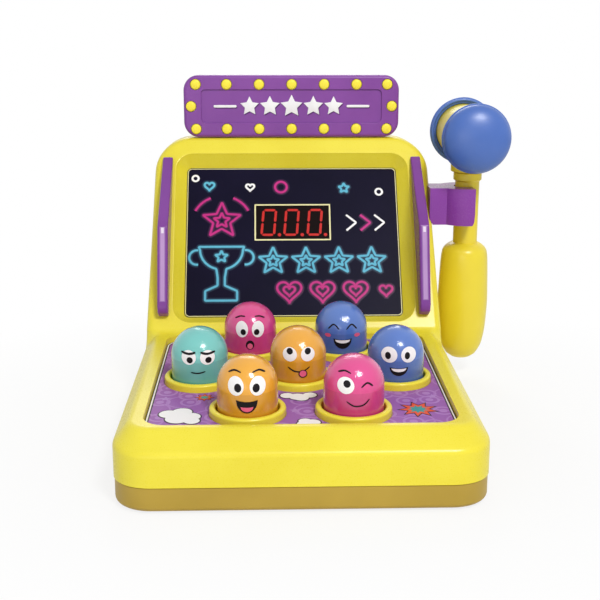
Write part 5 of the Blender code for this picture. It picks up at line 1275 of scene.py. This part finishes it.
def mole_springs():
    """Coils of round wire about the plungers, each with a mesh of its own."""
    seat = -CAP_BOTTOM - SPRING_LENGTH
    ends = SPRING_WIRE + GAP
    count = SPRING_TURNS * 2 * STEPS
    line = []
    for index in range(count + 1):
        turn = math.pi * index / STEPS
        height = seat + ends + (SPRING_LENGTH - 2 * ends) * index / count
        line.append((SPRING_RADIUS * math.cos(turn), SPRING_RADIUS * math.sin(turn), height))
    coil = wires("spring_coil", [line], SPRING_WIRE, 2, False)
    for name, x, y, _ in MOLES:
        place = DECK @ Matrix.Translation((x, y, 0))
        piece = twin(coil, f"{name}_spring_coil", place)
        finished(piece, STEEL, "housing", "spring_steel", f"{name}_mole_spring", weighted=False)
        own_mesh(piece)
    bpy.data.objects.remove(coil)


# Faces printed on the moles, in millimetres about the middle of the dome's front. A disc has its
# middle and half sizes, a line its width and points, and a bowl its left, right, top and bottom.
FACES = {
    "front_left": (("disc", "white", -5.8, 4.2, 4.2, 5.0), ("disc", "black", -4.8, 3.4, 1.9, 2.3),
                   ("disc", "white", 5.8, 4.2, 4.2, 5.0), ("disc", "black", 5.0, 3.4, 1.9, 2.3),
                   ("line", "black", 0.7, (-9.8, 10.4), (-6.5, 11.8), (-3.0, 11.0)),
                   ("line", "black", 0.7, (3.0, 11.0), (6.5, 11.8), (9.8, 10.4)),
                   ("bowl", "black", -5.8, 5.8, -3.2, -10.4), ("bowl", "rose", -3.4, 3.4, -6.9, -9.6)),
    "front_right": (("disc", "white", -5.6, 4.0, 4.4, 4.4), ("disc", "black", -5.0, 5.0, 1.9, 1.9),
                    ("line", "black", 0.9, (2.6, 3.2), (5.8, 5.4), (9.0, 3.4)),
                    ("line", "black", 0.7, (-9.4, 10.2), (-6.0, 11.2), (-2.8, 10.2)),
                    ("line", "black", 0.8, (-5.2, -4.6), (-1.0, -7.0), (4.0, -6.4), (7.2, -3.4))),
    "middle_left": (("disc", "white", -5.4, 2.8, 4.2, 4.2), ("disc", "black", -4.8, 1.4, 1.8, 1.8),
                    ("disc", "white", 5.4, 2.8, 4.2, 4.2), ("disc", "black", 6.0, 1.4, 1.8, 1.8),
                    ("line", "black", 1.3, (-9.8, 5.8), (-5.4, 5.0), (-1.4, 6.0)),
                    ("line", "black", 1.3, (1.4, 6.0), (5.4, 5.0), (9.8, 5.8)),
                    ("line", "black", 0.8, (-4.2, -5.8), (0, -6.3), (4.2, -5.3))),
    "middle_centre": (("disc", "white", -5.2, 4.2, 4.0, 4.0), ("disc", "black", -5.2, 6.0, 1.8, 1.8),
                      ("disc", "white", 5.2, 4.2, 4.0, 4.0), ("disc", "black", 5.2, 6.0, 1.8, 1.8),
                      ("line", "black", 0.8, (-6.4, -3.2), (-2.4, -5.6), (2.4, -5.6), (6.4, -3.2)),
                      ("disc", "black", 2.4, -7.2, 2.6, 2.4), ("disc", "rose", 2.4, -7.1, 2.0, 1.9)),
    "middle_right": (("disc", "white", -5.6, 3.4, 4.5, 4.5), ("disc", "black", -6.4, 3.0, 1.6, 2.1),
                     ("disc", "white", 5.6, 3.4, 4.5, 4.5), ("disc", "black", 4.8, 3.0, 1.6, 2.1),
                     ("bowl", "black", -5.4, 5.4, -3.8, -9.0), ("bowl", "white", -4.4, 4.4, -4.5, -6.6)),
    "back_left": (("disc", "white", -5.0, 3.4, 3.8, 5.0), ("disc", "black", -4.2, 1.8, 1.7, 1.9),
                  ("disc", "white", 5.0, 3.4, 3.8, 5.0), ("disc", "black", 4.2, 1.8, 1.7, 1.9),
                  ("line", "black", 0.7, (-9.2, 9.6), (-6.0, 11.0), (-3.0, 11.0)),
                  ("line", "black", 0.7, (3.0, 11.0), (6.0, 11.0), (9.2, 9.6)),
                  ("disc", "black", 0, -6.4, 2.6, 3.0), ("disc", "rose", 0, -7.2, 1.7, 1.8)),
    "back_right": (("line", "black", 0.9, (-9.0, 3.0), (-5.6, 6.0), (-2.2, 3.0)),
                   ("line", "black", 0.9, (2.2, 3.0), (5.6, 6.0), (9.0, 3.0)),
                   ("disc", "rose", -9.2, -1.0, 1.8, 1.2), ("disc", "rose", 9.2, -1.0, 1.8, 1.2),
                   ("bowl", "black", -5.8, 5.8, -2.8, -9.4), ("bowl", "white", -4.8, 4.8, -3.6, -5.8)),
}


def disc_place(x, y, wide, tall):
    """Where a square's points go when it is pressed into a disc."""
    def place(s, t):
        s, t = 2 * s - 1, 2 * t - 1
        return x + wide * s * math.sqrt(1 - t * t / 2), y + tall * t * math.sqrt(1 - s * s / 2)
    return place


def line_place(width, *points):
    """Where a strip's points go when it follows a smooth line that narrows at its ends."""
    line = eased(points, 8)
    narrowing = 0.6

    def place(s, t):
        along = s * (len(line) - 1)
        index = min(int(along), len(line) - 2)
        (x0, y0), (x1, y1) = line[index], line[index + 1]
        run = math.hypot(x1 - x0, y1 - y0)
        side = (t - 0.5) * width * (1 - narrowing * abs(2 * s - 1) ** 6)
        share = along - index
        return (x0 + (x1 - x0) * share - (y1 - y0) / run * side,
                y0 + (y1 - y0) * share + (x1 - x0) / run * side)
    return place


def bowl_place(left, right, top, bottom):
    """Where a square's points go when it is pressed into an open smile."""
    def place(s, t):
        x = 2 * s - 1
        low = top + (bottom - top) * math.sqrt(max(0, 1 - x * x))
        high = top + 0.12 * (bottom - top) * (1 - x * x)
        return left + (right - left) * s, low + (high - low) * t
    return place


def on_dome(x, y, lift):
    """A point drawn on the mole's front, carried onto its surface and lifted by an ink's thickness."""
    radius = MOLE_RADIUS + lift
    x, y = x * MM, y * MM
    deep = radius * radius - x * x - (y * y if y > 0 else 0)
    return x, -math.sqrt(max(deep, 0)), COLLAR_TOP + MOLE_STRAIGHT + y


def mole_faces():
    """Each face's inks, pressed onto its dome in thin layers."""
    makers = {"disc": (disc_place, 12, 12), "line": (line_place, 24, 2), "bowl": (bowl_place, 24, 8)}
    for name, x, y, colour in MOLES:
        inks = {}
        for layer, (kind, ink, *numbers) in enumerate(FACES[name]):
            maker, across, up = makers[kind]
            place = maker(*numbers)
            bpy.ops.mesh.primitive_grid_add(x_subdivisions=across, y_subdivisions=up, size=1)
            patch = bpy.context.object
            for vertex in patch.data.vertices:
                s, t = vertex.co.x + 0.5, vertex.co.y + 0.5
                vertex.co = on_dome(*place(s, t), (0.04 + 0.03 * layer) * MM)
            patch.name = patch.data.name = f"{name}_face_{ink}"
            inks.setdefault(ink, []).append(patch)
        for ink, prints in inks.items():
            if len(prints) > 1:
                gather(*prints)
            worked(prints[0], "SOLIDIFY", thickness=0.02 * MM, offset=0)
            inked(prints[0], ink, DECK @ Matrix.Translation((x, y, 0)), f"{name}_mole",
                  f"{colour}_mole_plastic")


# Screen


def window_rectangle(grow):
    """Outline of the display's window, grown on every side."""
    return rounded_rectangle(-WINDOW_WIDTH / 2 - grow, WINDOW_WIDTH / 2 + grow,
                             WINDOW_MIDDLE - WINDOW_HEIGHT / 2 - grow,
                             WINDOW_MIDDLE + WINDOW_HEIGHT / 2 + grow, BITE + grow, 4)


def screen_rectangle(inset):
    """Outline of the screen panel, drawn in by an inset."""
    return rounded_rectangle(-SCREEN_WIDTH / 2 + inset, SCREEN_WIDTH / 2 - inset, SCREEN_START + inset,
                             SCREEN_START + SCREEN_HEIGHT - inset, SCREEN_RADIUS - inset)


def screen():
    """The printed panel and the smoked window, with what shows on them."""
    panel = slab("screen_panel_print", screen_rectangle(0), -SCREEN_DROP - PANEL_THICKNESS, -SCREEN_DROP)
    cut(panel, slab("window", window_rectangle(0), -SCREEN_FLOOR - BITE, OVERRUN))
    settle(panel, FACE)
    finished(panel, SCREEN_NAVY, "housing", "printed_panel", "screen_panel")
    lens = slab("display_window", window_rectangle(-GAP), -SCREEN_DROP - PANEL_THICKNESS,
                -SCREEN_DROP - GAP)
    settle(lens, FACE)
    finished(lens, SMOKED_LENS, "housing", "smoked_lens", "display_lens")
    screen_print()
    digits()


# Layers of a neon line, from its wide faint glow up: ending of the ink's name, width and lift in mm
NEON_LAYERS = (("_glow", 4.2, 0), ("_halo", 2.6, 0.06), ("", 1.5, 0.14))


def screen_print():
    """The panel's own neon design: a cup under a star, with rows of stars, hearts and chevrons."""
    top = -SCREEN_DROP + PRINT_LIFT
    # Round the panel's edge: a black ring of painted shadow for the gap between panel and recess, with a thin
    # cream line inside it
    for ink, outer, inner in (("black", 0, 1.2), ("cream", 0.3, 0.75)):
        lines = [screen_rectangle(outer * MM), screen_rectangle(inner * MM)]
        inked(patches(f"screen_edge_{ink}", lines, top + outer * 0.1 * MM), ink, FACE, slot="printed_panel")
    half_wide = WINDOW_WIDTH / 2 + 0.2 * MM
    half_tall = WINDOW_HEIGHT / 2 + 0.2 * MM
    window = [rounded_rectangle(-half_wide, half_wide, WINDOW_MIDDLE - half_tall, WINDOW_MIDDLE + half_tall,
                                0.5 * MM, 3), window_rectangle(-0.8 * MM)]
    inked(patches("window_frame", window, top), "cream", FACE, slot="printed_panel")
    cup = [(-66, 66), (-34, 66)] + arc(-50, 64, 15, 0, -QUARTER * 0.85, 8)
    cup += [(-47.5, 43), (-47.5, 37), (-39, 33), (-39, 26), (-61, 26), (-61, 33), (-52.5, 37), (-52.5, 43)]
    cup += arc(-50, 64, 15, -QUARTER * 1.15, -2 * QUARTER, 8)
    closed_paths = {
        "cyan": [cup, star(-50, 58.5, 4.6), heart(-59, 113, 7), star(37, 111, 4)]
        + [star(x, 55, radius) for x in (-14, 9, 32, 55) for radius in (10.5, 4.5)],
        "magenta": [star(-50, 86, 14), star(-50, 86, 6), ring(-8, 112, 4.2, 24)]
        + [heart(x, 33, size) for x in (-3, 20, 43) for size in (17, 8)] + [heart(64, 33, 9)],
        "white": [ring(-69, 119, 2.2, 18), heart(-30, 112, 6), ring(62, 108, 2.4, 18)],
    }
    chevrons = [[(x, 90), (x + 7, 84), (x, 78)] for x in (38, 48, 58)]
    open_paths = {
        "cyan": [arc(-67, 58, 5.5, QUARTER * 0.9, QUARTER * 3.1, 10),
                 arc(-33, 58, 5.5, -QUARTER * 1.1, QUARTER * 1.1, 10)],
        "magenta": [arc(-50, 84, 21, QUARTER * 0.3, QUARTER * 0.75, 8),
                    arc(-50, 84, 21, QUARTER * 1.25, QUARTER * 1.7, 8), chevrons[1]],
        "white": [chevrons[0], chevrons[2]],
    }
    for ink in ("cyan", "magenta", "white"):
        for ending, width, lift in NEON_LAYERS[-1:] if ink == "white" else NEON_LAYERS:
            lines = []
            for part, paths, cyclic in (("", closed_paths, True), ("_open", open_paths, False)):
                scaled = [[(x * MM, y * MM) for x, y in path] for path in paths[ink]]
                lines.append(strokes(f"neon_{ink}{ending}{part}", scaled, width * MM, top + lift * MM,
                                     cyclic))
            inked(gather(*lines), ink + ending, FACE, slot="printed_panel")


def digits():
    """Three slanted seven-segment noughts with their points, as they show on the lens."""
    height = -SCREEN_DROP - 0.25 * MM
    half, wide, thick = 9.5, 4.4, 1.7
    slant = 0.085
    tip, shoulder = 0.35, 1.2
    lit = []

    def bar(x0, y0, x1, y1, x):
        """A six-cornered segment between two points of a digit."""
        run = math.hypot(x1 - x0, y1 - y0)
        ax, ay = (x1 - x0) / run, (y1 - y0) / run
        corners = []
        for along, side in ((tip, 0), (shoulder, 0.5), (run - shoulder, 0.5), (run - tip, 0),
                            (run - shoulder, -0.5), (shoulder, -0.5)):
            px = x0 + ax * along - ay * side * thick
            py = y0 + ay * along + ax * side * thick
            corners.append(((x + px + slant * py) * MM, WINDOW_MIDDLE + py * MM))
        return corners

    for x in (-16.8, -0.7, 15.7):
        ends = ((-wide, half, wide, half), (-wide, -half, wide, -half), (-wide, 0, -wide, half),
                (wide, 0, wide, half), (-wide, -half, -wide, 0), (wide, -half, wide, 0))
        lit += [bar(*end, x) for end in ends]
        lit.append(ring((x + 7.4) * MM, WINDOW_MIDDLE - half * MM, 1.25 * MM, 16))
    inked(patches("digits_lit", lit, height), "led", FACE, slot="smoked_lens")


# Fins


# Strips of painted sheen along a fin's edge: inset in mm, start and end as shares of the edge, and lift
PAINTED_SHEEN_STRIPS = ((2.1, 0.05, 0.99, 0.4), (2.7, 0.06, 0.985, 0.8), (3.1, 0.91, 0.98, 1.2))


def fins():
    """Side fins, low at the top, highest under the middle, with a blunt toe and painted sheen on the edge."""
    foot = FIN_FOOT
    heel = (foot + FIN_TOE_RUN, FIN_HEEL_HEIGHT)
    peak = (foot + FIN_LENGTH * FIN_PEAK_SHARE, FIN_HEIGHT)
    outline = [(foot, GAP), (foot + FIN_LENGTH, GAP), (foot + FIN_LENGTH, FIN_TOP_HEIGHT), peak, heel,
               (foot, FIN_TOE_HEIGHT)]
    low, high = Vector(heel), Vector(peak)
    run = (high - low).normalized()
    out = Vector((-run.y, run.x)) * 0.05 * MM
    reach = (high - low).length
    for name, start in (("left_fin", -FIN_SPREAD - FIN_THICKNESS), ("right_fin", FIN_SPREAD)):
        place = FACE @ Matrix.Translation((start, 0, 0))
        plate = slab(f"{name}_moulding", outline, FIN_SLIMMING, FIN_THICKNESS - FIN_SLIMMING)
        settle(plate, EDGE_ON)
        soften(plate, 1.5 * MM, 4)
        settle(plate, place)
        finished(plate, FIN_PURPLE, "housing", "purple_plastic", name)
        # Painted sheen: lighter lilac strips on the lower front edge, with a painted glint near the peak
        for finish, (inset, start_share, end_share, lift) in zip(PAINTED_FIN_SHEENS, PAINTED_SHEEN_STRIPS):
            ends = [low + run * (reach * share) for share in (start_share, end_share)]
            edge = out * lift
            strip = [tuple(ends[0] - out), tuple(ends[1] - out), tuple(ends[1] + edge), tuple(ends[0] + edge)]
            sheen = settle(slab(f"{name}_painted_edge_sheen", strip, inset * MM, FIN_THICKNESS - inset * MM), EDGE_ON)
            settle(sheen, place)
            finished(sheen, finish, "housing", "purple_plastic")


# Sign


def sign_rectangle(inset):
    """Outline of the sign, drawn in by an inset."""
    return rounded_rectangle(-SIGN_WIDTH / 2 + inset, SIGN_WIDTH / 2 - inset, inset, SIGN_HEIGHT - inset,
                             SIGN_RADIUS - inset)


def bulb_places():
    """Two rows of seven bulbs, and one at each end."""
    corner = SIGN_WIDTH / 2 - BULB_CORNER_INSET
    xs = [-corner, -2 * BULB_PITCH, -BULB_PITCH, 0, BULB_PITCH, 2 * BULB_PITCH, corner]
    places = [(x, y) for y in (BULB_LOW_INSET, SIGN_HEIGHT - BULB_HIGH_INSET) for x in xs]
    side = SIGN_WIDTH / 2 - BULB_SIDE_INSET
    return places + [(-side, SIGN_HEIGHT / 2), (side, SIGN_HEIGHT / 2)]


def sign_front():
    """The purple front: a shallow tray with a sunk plate and a hole for each bulb."""
    front = slab("sign_front_moulding", sign_rectangle(0), -SIGN_DEPTH, 0)
    round_where(front, lambda point: point.z > -GAP, SIGN_EDGE, 6)
    middle = SIGN_HEIGHT / 2
    plate = rounded_rectangle(-NAMEPLATE_WIDTH / 2, NAMEPLATE_WIDTH / 2, middle - NAMEPLATE_HEIGHT / 2,
                              middle + NAMEPLATE_HEIGHT / 2, 3.2 * MM, 8)
    cut(front, slab("nameplate", plate, -NAMEPLATE_DROP, OVERRUN))
    round_where(front, lambda point: abs(point.z) < 0.05 * MM and abs(point.x) < NAMEPLATE_WIDTH / 2 + GAP
                and abs(point.y - middle) < NAMEPLATE_HEIGHT / 2 + GAP, 0.45 * MM, 3)
    cut(front, slab("sign_hollow", sign_rectangle(SIGN_WALL), -SIGN_DEPTH - OVERRUN, -SIGN_WALL),
        gather(*[disc("hole", BULB_RADIUS + GAP, -SIGN_DEPTH - OVERRUN, OVERRUN, place, 40)
                 for place in bulb_places()]))
    settle(front, SIGN)
    finished(front, PURPLE, "housing", "purple_plastic", "sign_front")


# Crown of a bulb, as radius and height in millimetres about how far it stands proud
BULB_CROWN = ((0, 0.35), (1.4, 0.28), (2.6, 0.05), (3.25, -0.3), (3.55, -0.7))


def sign_bulbs():
    """The bulbs, moulded in one with the plate that carries them behind the front."""
    top = -SIGN_WALL - GAP
    carrier = slab("sign_bulb_row", sign_rectangle(SIGN_WALL + GAP), top - 1.6 * MM, top)
    profile = [(radius * MM, BULB_PROUD + height * MM) for radius, height in BULB_CROWN]
    profile += [(BULB_RADIUS, BULB_PROUD - 1.2 * MM), (BULB_RADIUS, top - BITE), (0, top - BITE)]
    bulb = turned("bulb", profile, 40)
    bulbs = [twin(bulb, "bulb_copy", Matrix.Translation((x, y, 0))) for x, y in bulb_places()]
    bpy.data.objects.remove(bulb)
    gather(carrier, *bulbs)
    settle(carrier, SIGN)
    finished(carrier, BULB_YELLOW, "housing", "yellow_plastic", "sign_bulbs")


def sign_back():
    """The plate that closes the sign from behind."""
    top = -SIGN_DEPTH - GAP
    back = slab("sign_back_moulding", sign_rectangle(0), top - SIGN_BACK_THICKNESS, top)
    round_where(back, lambda point: point.z < top - GAP, 0.8 * MM, 3)
    settle(back, SIGN)
    finished(back, PURPLE, "housing", "purple_plastic", "sign_back")


def sign_shapes():
    """Five raised white stars between two dashes, each over a painted shadow of itself."""
    low = -NAMEPLATE_DROP
    middle = SIGN_HEIGHT / 2
    shapes = [star(x * MM, middle, size * MM, 0.5)
              for x, size in ((-30, 7.0), (-15.5, 7.4), (0, 8.2), (15.5, 7.4), (30, 7.0))]
    shapes += [rounded_rectangle(x - 8.2 * MM, x + 8.2 * MM, middle - 0.9 * MM, middle + 0.9 * MM,
                                 0.85 * MM, 4) for x in (-47.4 * MM, 47.5 * MM)]
    # Painted shadow: a darker copy of each shape, shifted down and to one side on the sunk plate
    shifted = [[(x + 0.5 * MM, y - 0.7 * MM) for x, y in shape] for shape in shapes]
    painted_shade = patches("sign_shape_shadows", shifted, low + PRINT_LIFT)
    inked(painted_shade, "shadow", SIGN, slot="purple_plastic")
    raised = gather(*[slab("sign_shapes", shape, low - 0.1 * MM, low + SHAPE_RISE) for shape in shapes])
    soften(raised, 0.2 * MM, 2)
    inked(raised, "white", SIGN, slot="purple_plastic")


# Hammer


def grip_profile():
    """The grip from its shoulder down: a long barrel that closes in at the bottom.

    The shares are of its length and of its widest radius.
    """
    shares = ((1.0, 0.48), (0.985, 0.64), (0.95, 0.83), (0.90, 0.91), (0.80, 0.95), (0.62, 0.985),
              (0.48, 1.0), (0.30, 0.96), (0.19, 0.90), (0.10, 0.79), (0.03, 0.60))
    return eased([(GRIP_RADIUS * wide, GRIP_BOTTOM + GRIP_LENGTH * up) for up, wide in shares])


def hammer_handle():
    """Grip, shaft and neck in one moulding."""
    top = NECK_BOTTOM + NECK_LENGTH
    ease = NECK_RADIUS - SHAFT_RADIUS
    profile = [(0, top + 2 * MM), (6 * MM, top + 2 * MM), (6 * MM, top), (NECK_RADIUS - 0.5 * MM, top),
               (NECK_RADIUS, top - 0.5 * MM), (NECK_RADIUS, NECK_BOTTOM + ease), (SHAFT_RADIUS, NECK_BOTTOM)]
    profile += grip_profile()
    profile += [(GRIP_RADIUS * 0.40, GRIP_BOTTOM), (0, GRIP_BOTTOM)]
    handle = turned("hammer_handle_moulding", profile, FINE)
    settle(handle, HAMMER)
    finished(handle, HANDLE_YELLOW, "hammer", "yellow_plastic", "hammer_handle")


def hammer_head():
    """The head's core between its caps, with the socket that takes the neck."""
    profile = [(0, CAP_SEAM), (HEAD_RADIUS, CAP_SEAM), (HEAD_RADIUS, -CAP_SEAM), (0, -CAP_SEAM)]
    head = settle(turned("hammer_head_moulding", profile, FINE), HEAD)
    low = HEAD_HEIGHT - HEAD_RADIUS - SOCKET_LENGTH
    socket = disc("socket", SOCKET_RADIUS, low, HEAD_HEIGHT)
    round_where(socket, lambda point: point.z < low + GAP, 1 * MM, 3)
    weld(head, settle(socket, HAMMER))
    finished(head, HANDLE_YELLOW, "hammer", "yellow_plastic", "hammer_head")


def hammer_caps():
    """Domed caps with a bead round their rim, one on each end of the head."""
    side = CAP_RADIUS - CAP_BEAD_DEPTH
    rise = HEAD_LENGTH / 2 - CAP_SEAM
    bead = 1.4 * MM
    rim = 1.0 * MM
    bore = HEAD_RADIUS + GAP
    profile = [(side * math.cos(turn), CAP_SEAM + rise * math.sin(turn))
               for turn in (QUARTER * (1 - step / 24) for step in range(25))]
    profile[0] = (0, HEAD_LENGTH / 2)
    profile += arc(CAP_RADIUS - bead, CAP_SEAM - 1.5 * MM, bead, QUARTER * 0.7, -QUARTER * 0.7, 8)
    profile += [(side, CAP_RIM)] + arc(side - rim, CAP_RIM, rim, 0, -2 * QUARTER, 8)[1:]
    profile += [(side - 2 * rim, CAP_RIM + 0.6 * MM), (bore + 0.5 * MM, CAP_RIM + 0.6 * MM),
                (bore, CAP_RIM + 1.1 * MM), (bore, CAP_SEAM - GAP), (0, CAP_SEAM - GAP)]
    cap = turned("cap", profile, FINE)
    for name, turn in (("hammer_cap_front", 0), ("hammer_cap_rear", math.pi)):
        piece = twin(cap, f"{name}_dome", HEAD @ Matrix.Rotation(turn, 4, "X"))
        finished(piece, CAP_BLUE, "hammer", "blue_plastic", name)
    bpy.data.objects.remove(cap)


def clip_outline(inset):
    """Plan of the clip: an arm, a thick round C, and straight lips for the shaft to leave by."""
    half_arm = CLIP_ARM_DEPTH / 2 - inset
    outer = CLIP_RADIUS - inset
    bore = CLIP_BORE + inset
    lip = CLIP_LIP - inset
    root = half_width(CLIP_BOTTOM) + GAP - CLIP_REACH - HAMMER_X + inset
    arm_turn = math.asin(half_arm / outer)
    lip_turn = math.asin(lip / outer)
    outline = [(root, -half_arm)]
    outline += arc(0, 0, outer, 2 * QUARTER + arm_turn, 3 * QUARTER + lip_turn, 2 * STEPS)
    outline += [(lip, -bore)]
    outline += arc(0, 0, bore, 3 * QUARTER, QUARTER, 3 * STEPS)
    outline += [(lip, bore)]
    outline += arc(0, 0, outer, QUARTER - lip_turn, 2 * QUARTER - arm_turn, 2 * STEPS)
    return outline + [(root, half_arm)]


def hammer_clip():
    """A clip whose open side faces away from the housing, hollow from below."""
    top = CLIP_BOTTOM + CLIP_HEIGHT
    low = CLIP_BOTTOM
    clip = slab("hammer_clip_moulding", clip_outline(0), low, top)
    cut(clip, slab("clip_pocket", clip_outline(CLIP_SKIN), low - OVERRUN, top - CLIP_SKIN))
    corner = [(CLIP_LIP + OVERRUN, low - BITE), (CLIP_LIP + OVERRUN, top)]
    corner += eased([(CLIP_LIP, low + 9.0 * MM), (CLIP_LIP - 0.3 * MM, low + 4.0 * MM),
                     (CLIP_LIP - 0.8 * MM, low + 1.6 * MM), (CLIP_LIP - 1.5 * MM, low + 0.5 * MM),
                     (CLIP_LIP - 2.2 * MM, low - 0.2 * MM)], 3)
    reach = CLIP_RADIUS + OVERRUN
    tool = slab("clip_lip_taper", corner, -reach, reach)
    cut(clip, settle(tool, Matrix.Rotation(QUARTER, 4, "X")))
    settle(clip, CLIP)
    cut(clip, settle(housing_form("clip_seat", -GAP, SHELL_BOTTOM, BACK_REACH, 0), GAME))
    finished(clip, CLIP_PURPLE, "housing", "purple_plastic", "hammer_clip")


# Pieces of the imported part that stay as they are, with their finishes


def dress_inner_works():
    """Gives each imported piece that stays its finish."""
    finishes = (("_mole_plunger", WHITE_PLASTIC), ("guide_plate", WHITE_PLASTIC),
                ("switch_board", BOARD_GREEN), ("main_board", BOARD_GREEN), ("display_module", BLACK_PLASTIC),
                ("speaker", BLACK_PLASTIC), ("battery_1", BATTERY_WRAP), ("battery_2", BATTERY_WRAP),
                ("battery_3", BATTERY_WRAP), ("power_switch", BLACK_PLASTIC))
    for name, node in NODES.items():
        for ending, finish in finishes:
            if name.endswith(ending):
                node.data.materials.clear()
                node.data.materials.append(finish)


# Stage, light and camera


# Softboxes: name, place, aim and width in metres, and power in watts
SOFTBOXES = (
    ("key_softbox", (0.42, -1.12, 1.32), (0, 0, 0.08), 0.36, 17),
    ("fill_softbox", (-0.4, -1.3, 0.1), (0, 0, 0.12), 0.8, 2.5),
    ("back_softbox", (0, 1.35, 1.0), (0, 0, 0.1), 0.8, 7),
)
SURROUND_STRENGTH = 0.4
LENS_LENGTH = 63.35
SENSOR_WIDTH = 36
CAMERA_PLACE = (-0.0407, -0.648113, 0.2335)
CAMERA_TURN = (math.radians(76.7), 0, math.radians(-1.7))


def stage():
    """A white floor that keeps the shadow under the game, and fades into a white backdrop."""
    bpy.ops.object.select_all(action="DESELECT")
    bpy.ops.mesh.primitive_plane_add(size=8, location=(0, 0, 0))
    floor = bpy.context.object
    floor.name = "studio_floor"
    finish = bpy.data.materials.new("matt_paper_floor")
    finish.use_nodes = True
    tree = finish.node_tree
    paper = tree.nodes["Principled BSDF"]
    paper.inputs["Base Color"].default_value = hex_colour("#F2F2F2")
    paper.inputs["Roughness"].default_value = 0.9
    paper.inputs["Specular IOR Level"].default_value = 0.0
    place = add_node(tree, "ShaderNodeTexCoord").outputs["Object"]
    distance = add_node(tree, "ShaderNodeVectorMath", {0: place}, operation="LENGTH")
    fade = add_node(tree, "ShaderNodeMapRange", {"Value": distance.outputs["Value"]},
                    inputs={"From Min": 0.13, "From Max": 0.34, "To Min": 0.8, "To Max": 1.0})
    seen = add_node(tree, "ShaderNodeLightPath")
    share = add_node(tree, "ShaderNodeMath", {0: fade.outputs["Result"], 1: seen.outputs["Is Camera Ray"]},
                     operation="MULTIPLY")
    white = add_node(tree, "ShaderNodeEmission", inputs={"Strength": 1.0})
    mix = add_node(tree, "ShaderNodeMixShader", {0: share.outputs["Value"], 1: paper.outputs["BSDF"],
                                                 2: white.outputs["Emission"]})
    tree.links.new(mix.outputs["Shader"], tree.nodes["Material Output"].inputs["Surface"])
    floor.data.materials.append(finish)


def backdrop():
    """An even white surround, plain white where the camera or a reflection sees it."""
    world = bpy.data.worlds.new("studio")
    world.use_nodes = True
    bpy.context.scene.world = world
    tree = world.node_tree
    soft = tree.nodes["Background"]
    soft.inputs["Strength"].default_value = SURROUND_STRENGTH
    soft.inputs["Color"].default_value = (1, 1, 1, 1)
    plain = add_node(tree, "ShaderNodeBackground", inputs={"Strength": 1.0, "Color": (1, 1, 1, 1)})
    seen = add_node(tree, "ShaderNodeLightPath")
    rays = add_node(tree, "ShaderNodeMath", {0: seen.outputs["Is Camera Ray"],
                                             1: seen.outputs["Is Glossy Ray"]}, operation="MAXIMUM")
    rays = add_node(tree, "ShaderNodeMath", {0: rays.outputs["Value"],
                                             1: seen.outputs["Is Transmission Ray"]}, operation="MAXIMUM")
    mix = add_node(tree, "ShaderNodeMixShader", {0: rays.outputs["Value"], 1: soft.outputs["Background"],
                                                 2: plain.outputs["Background"]})
    tree.links.new(mix.outputs["Shader"], tree.nodes["World Output"].inputs["Surface"])


def lamp(name, place, aim, size, energy):
    """A round softbox turned towards its aim."""
    light = bpy.data.lights.new(name, "AREA")
    light.shape = "DISK"
    light.size = size
    light.energy = energy
    holder = bpy.data.objects.new(name, light)
    bpy.context.scene.collection.objects.link(holder)
    holder.location = place
    holder.rotation_euler = (Vector(aim) - Vector(place)).to_track_quat("-Z", "Y").to_euler()


def camera():
    """The camera at the photograph's viewing angle."""
    lens = bpy.data.cameras.new("camera")
    lens.lens = LENS_LENGTH
    lens.sensor_width = SENSOR_WIDTH
    holder = bpy.data.objects.new("camera", lens)
    bpy.context.scene.collection.objects.link(holder)
    holder.location = CAMERA_PLACE
    holder.rotation_euler = CAMERA_TURN
    bpy.context.scene.camera = holder


def build():
    """Makes every piece, then the stage, the camera and the lights."""
    for make in (upper_housing, rear_cover, power_knob, base_tray, feet, screws, battery_door, deck_sheet,
                 deck_print, moles, mole_springs, mole_faces, screen, fins, sign_front, sign_bulbs, sign_back,
                 sign_shapes, hammer_handle, hammer_head, hammer_caps, hammer_clip, dress_inner_works, stage,
                 backdrop, camera):
        make()
    for softbox in SOFTBOXES:
        lamp(*softbox)
    bpy.context.scene.view_settings.view_transform = "Standard"


build()
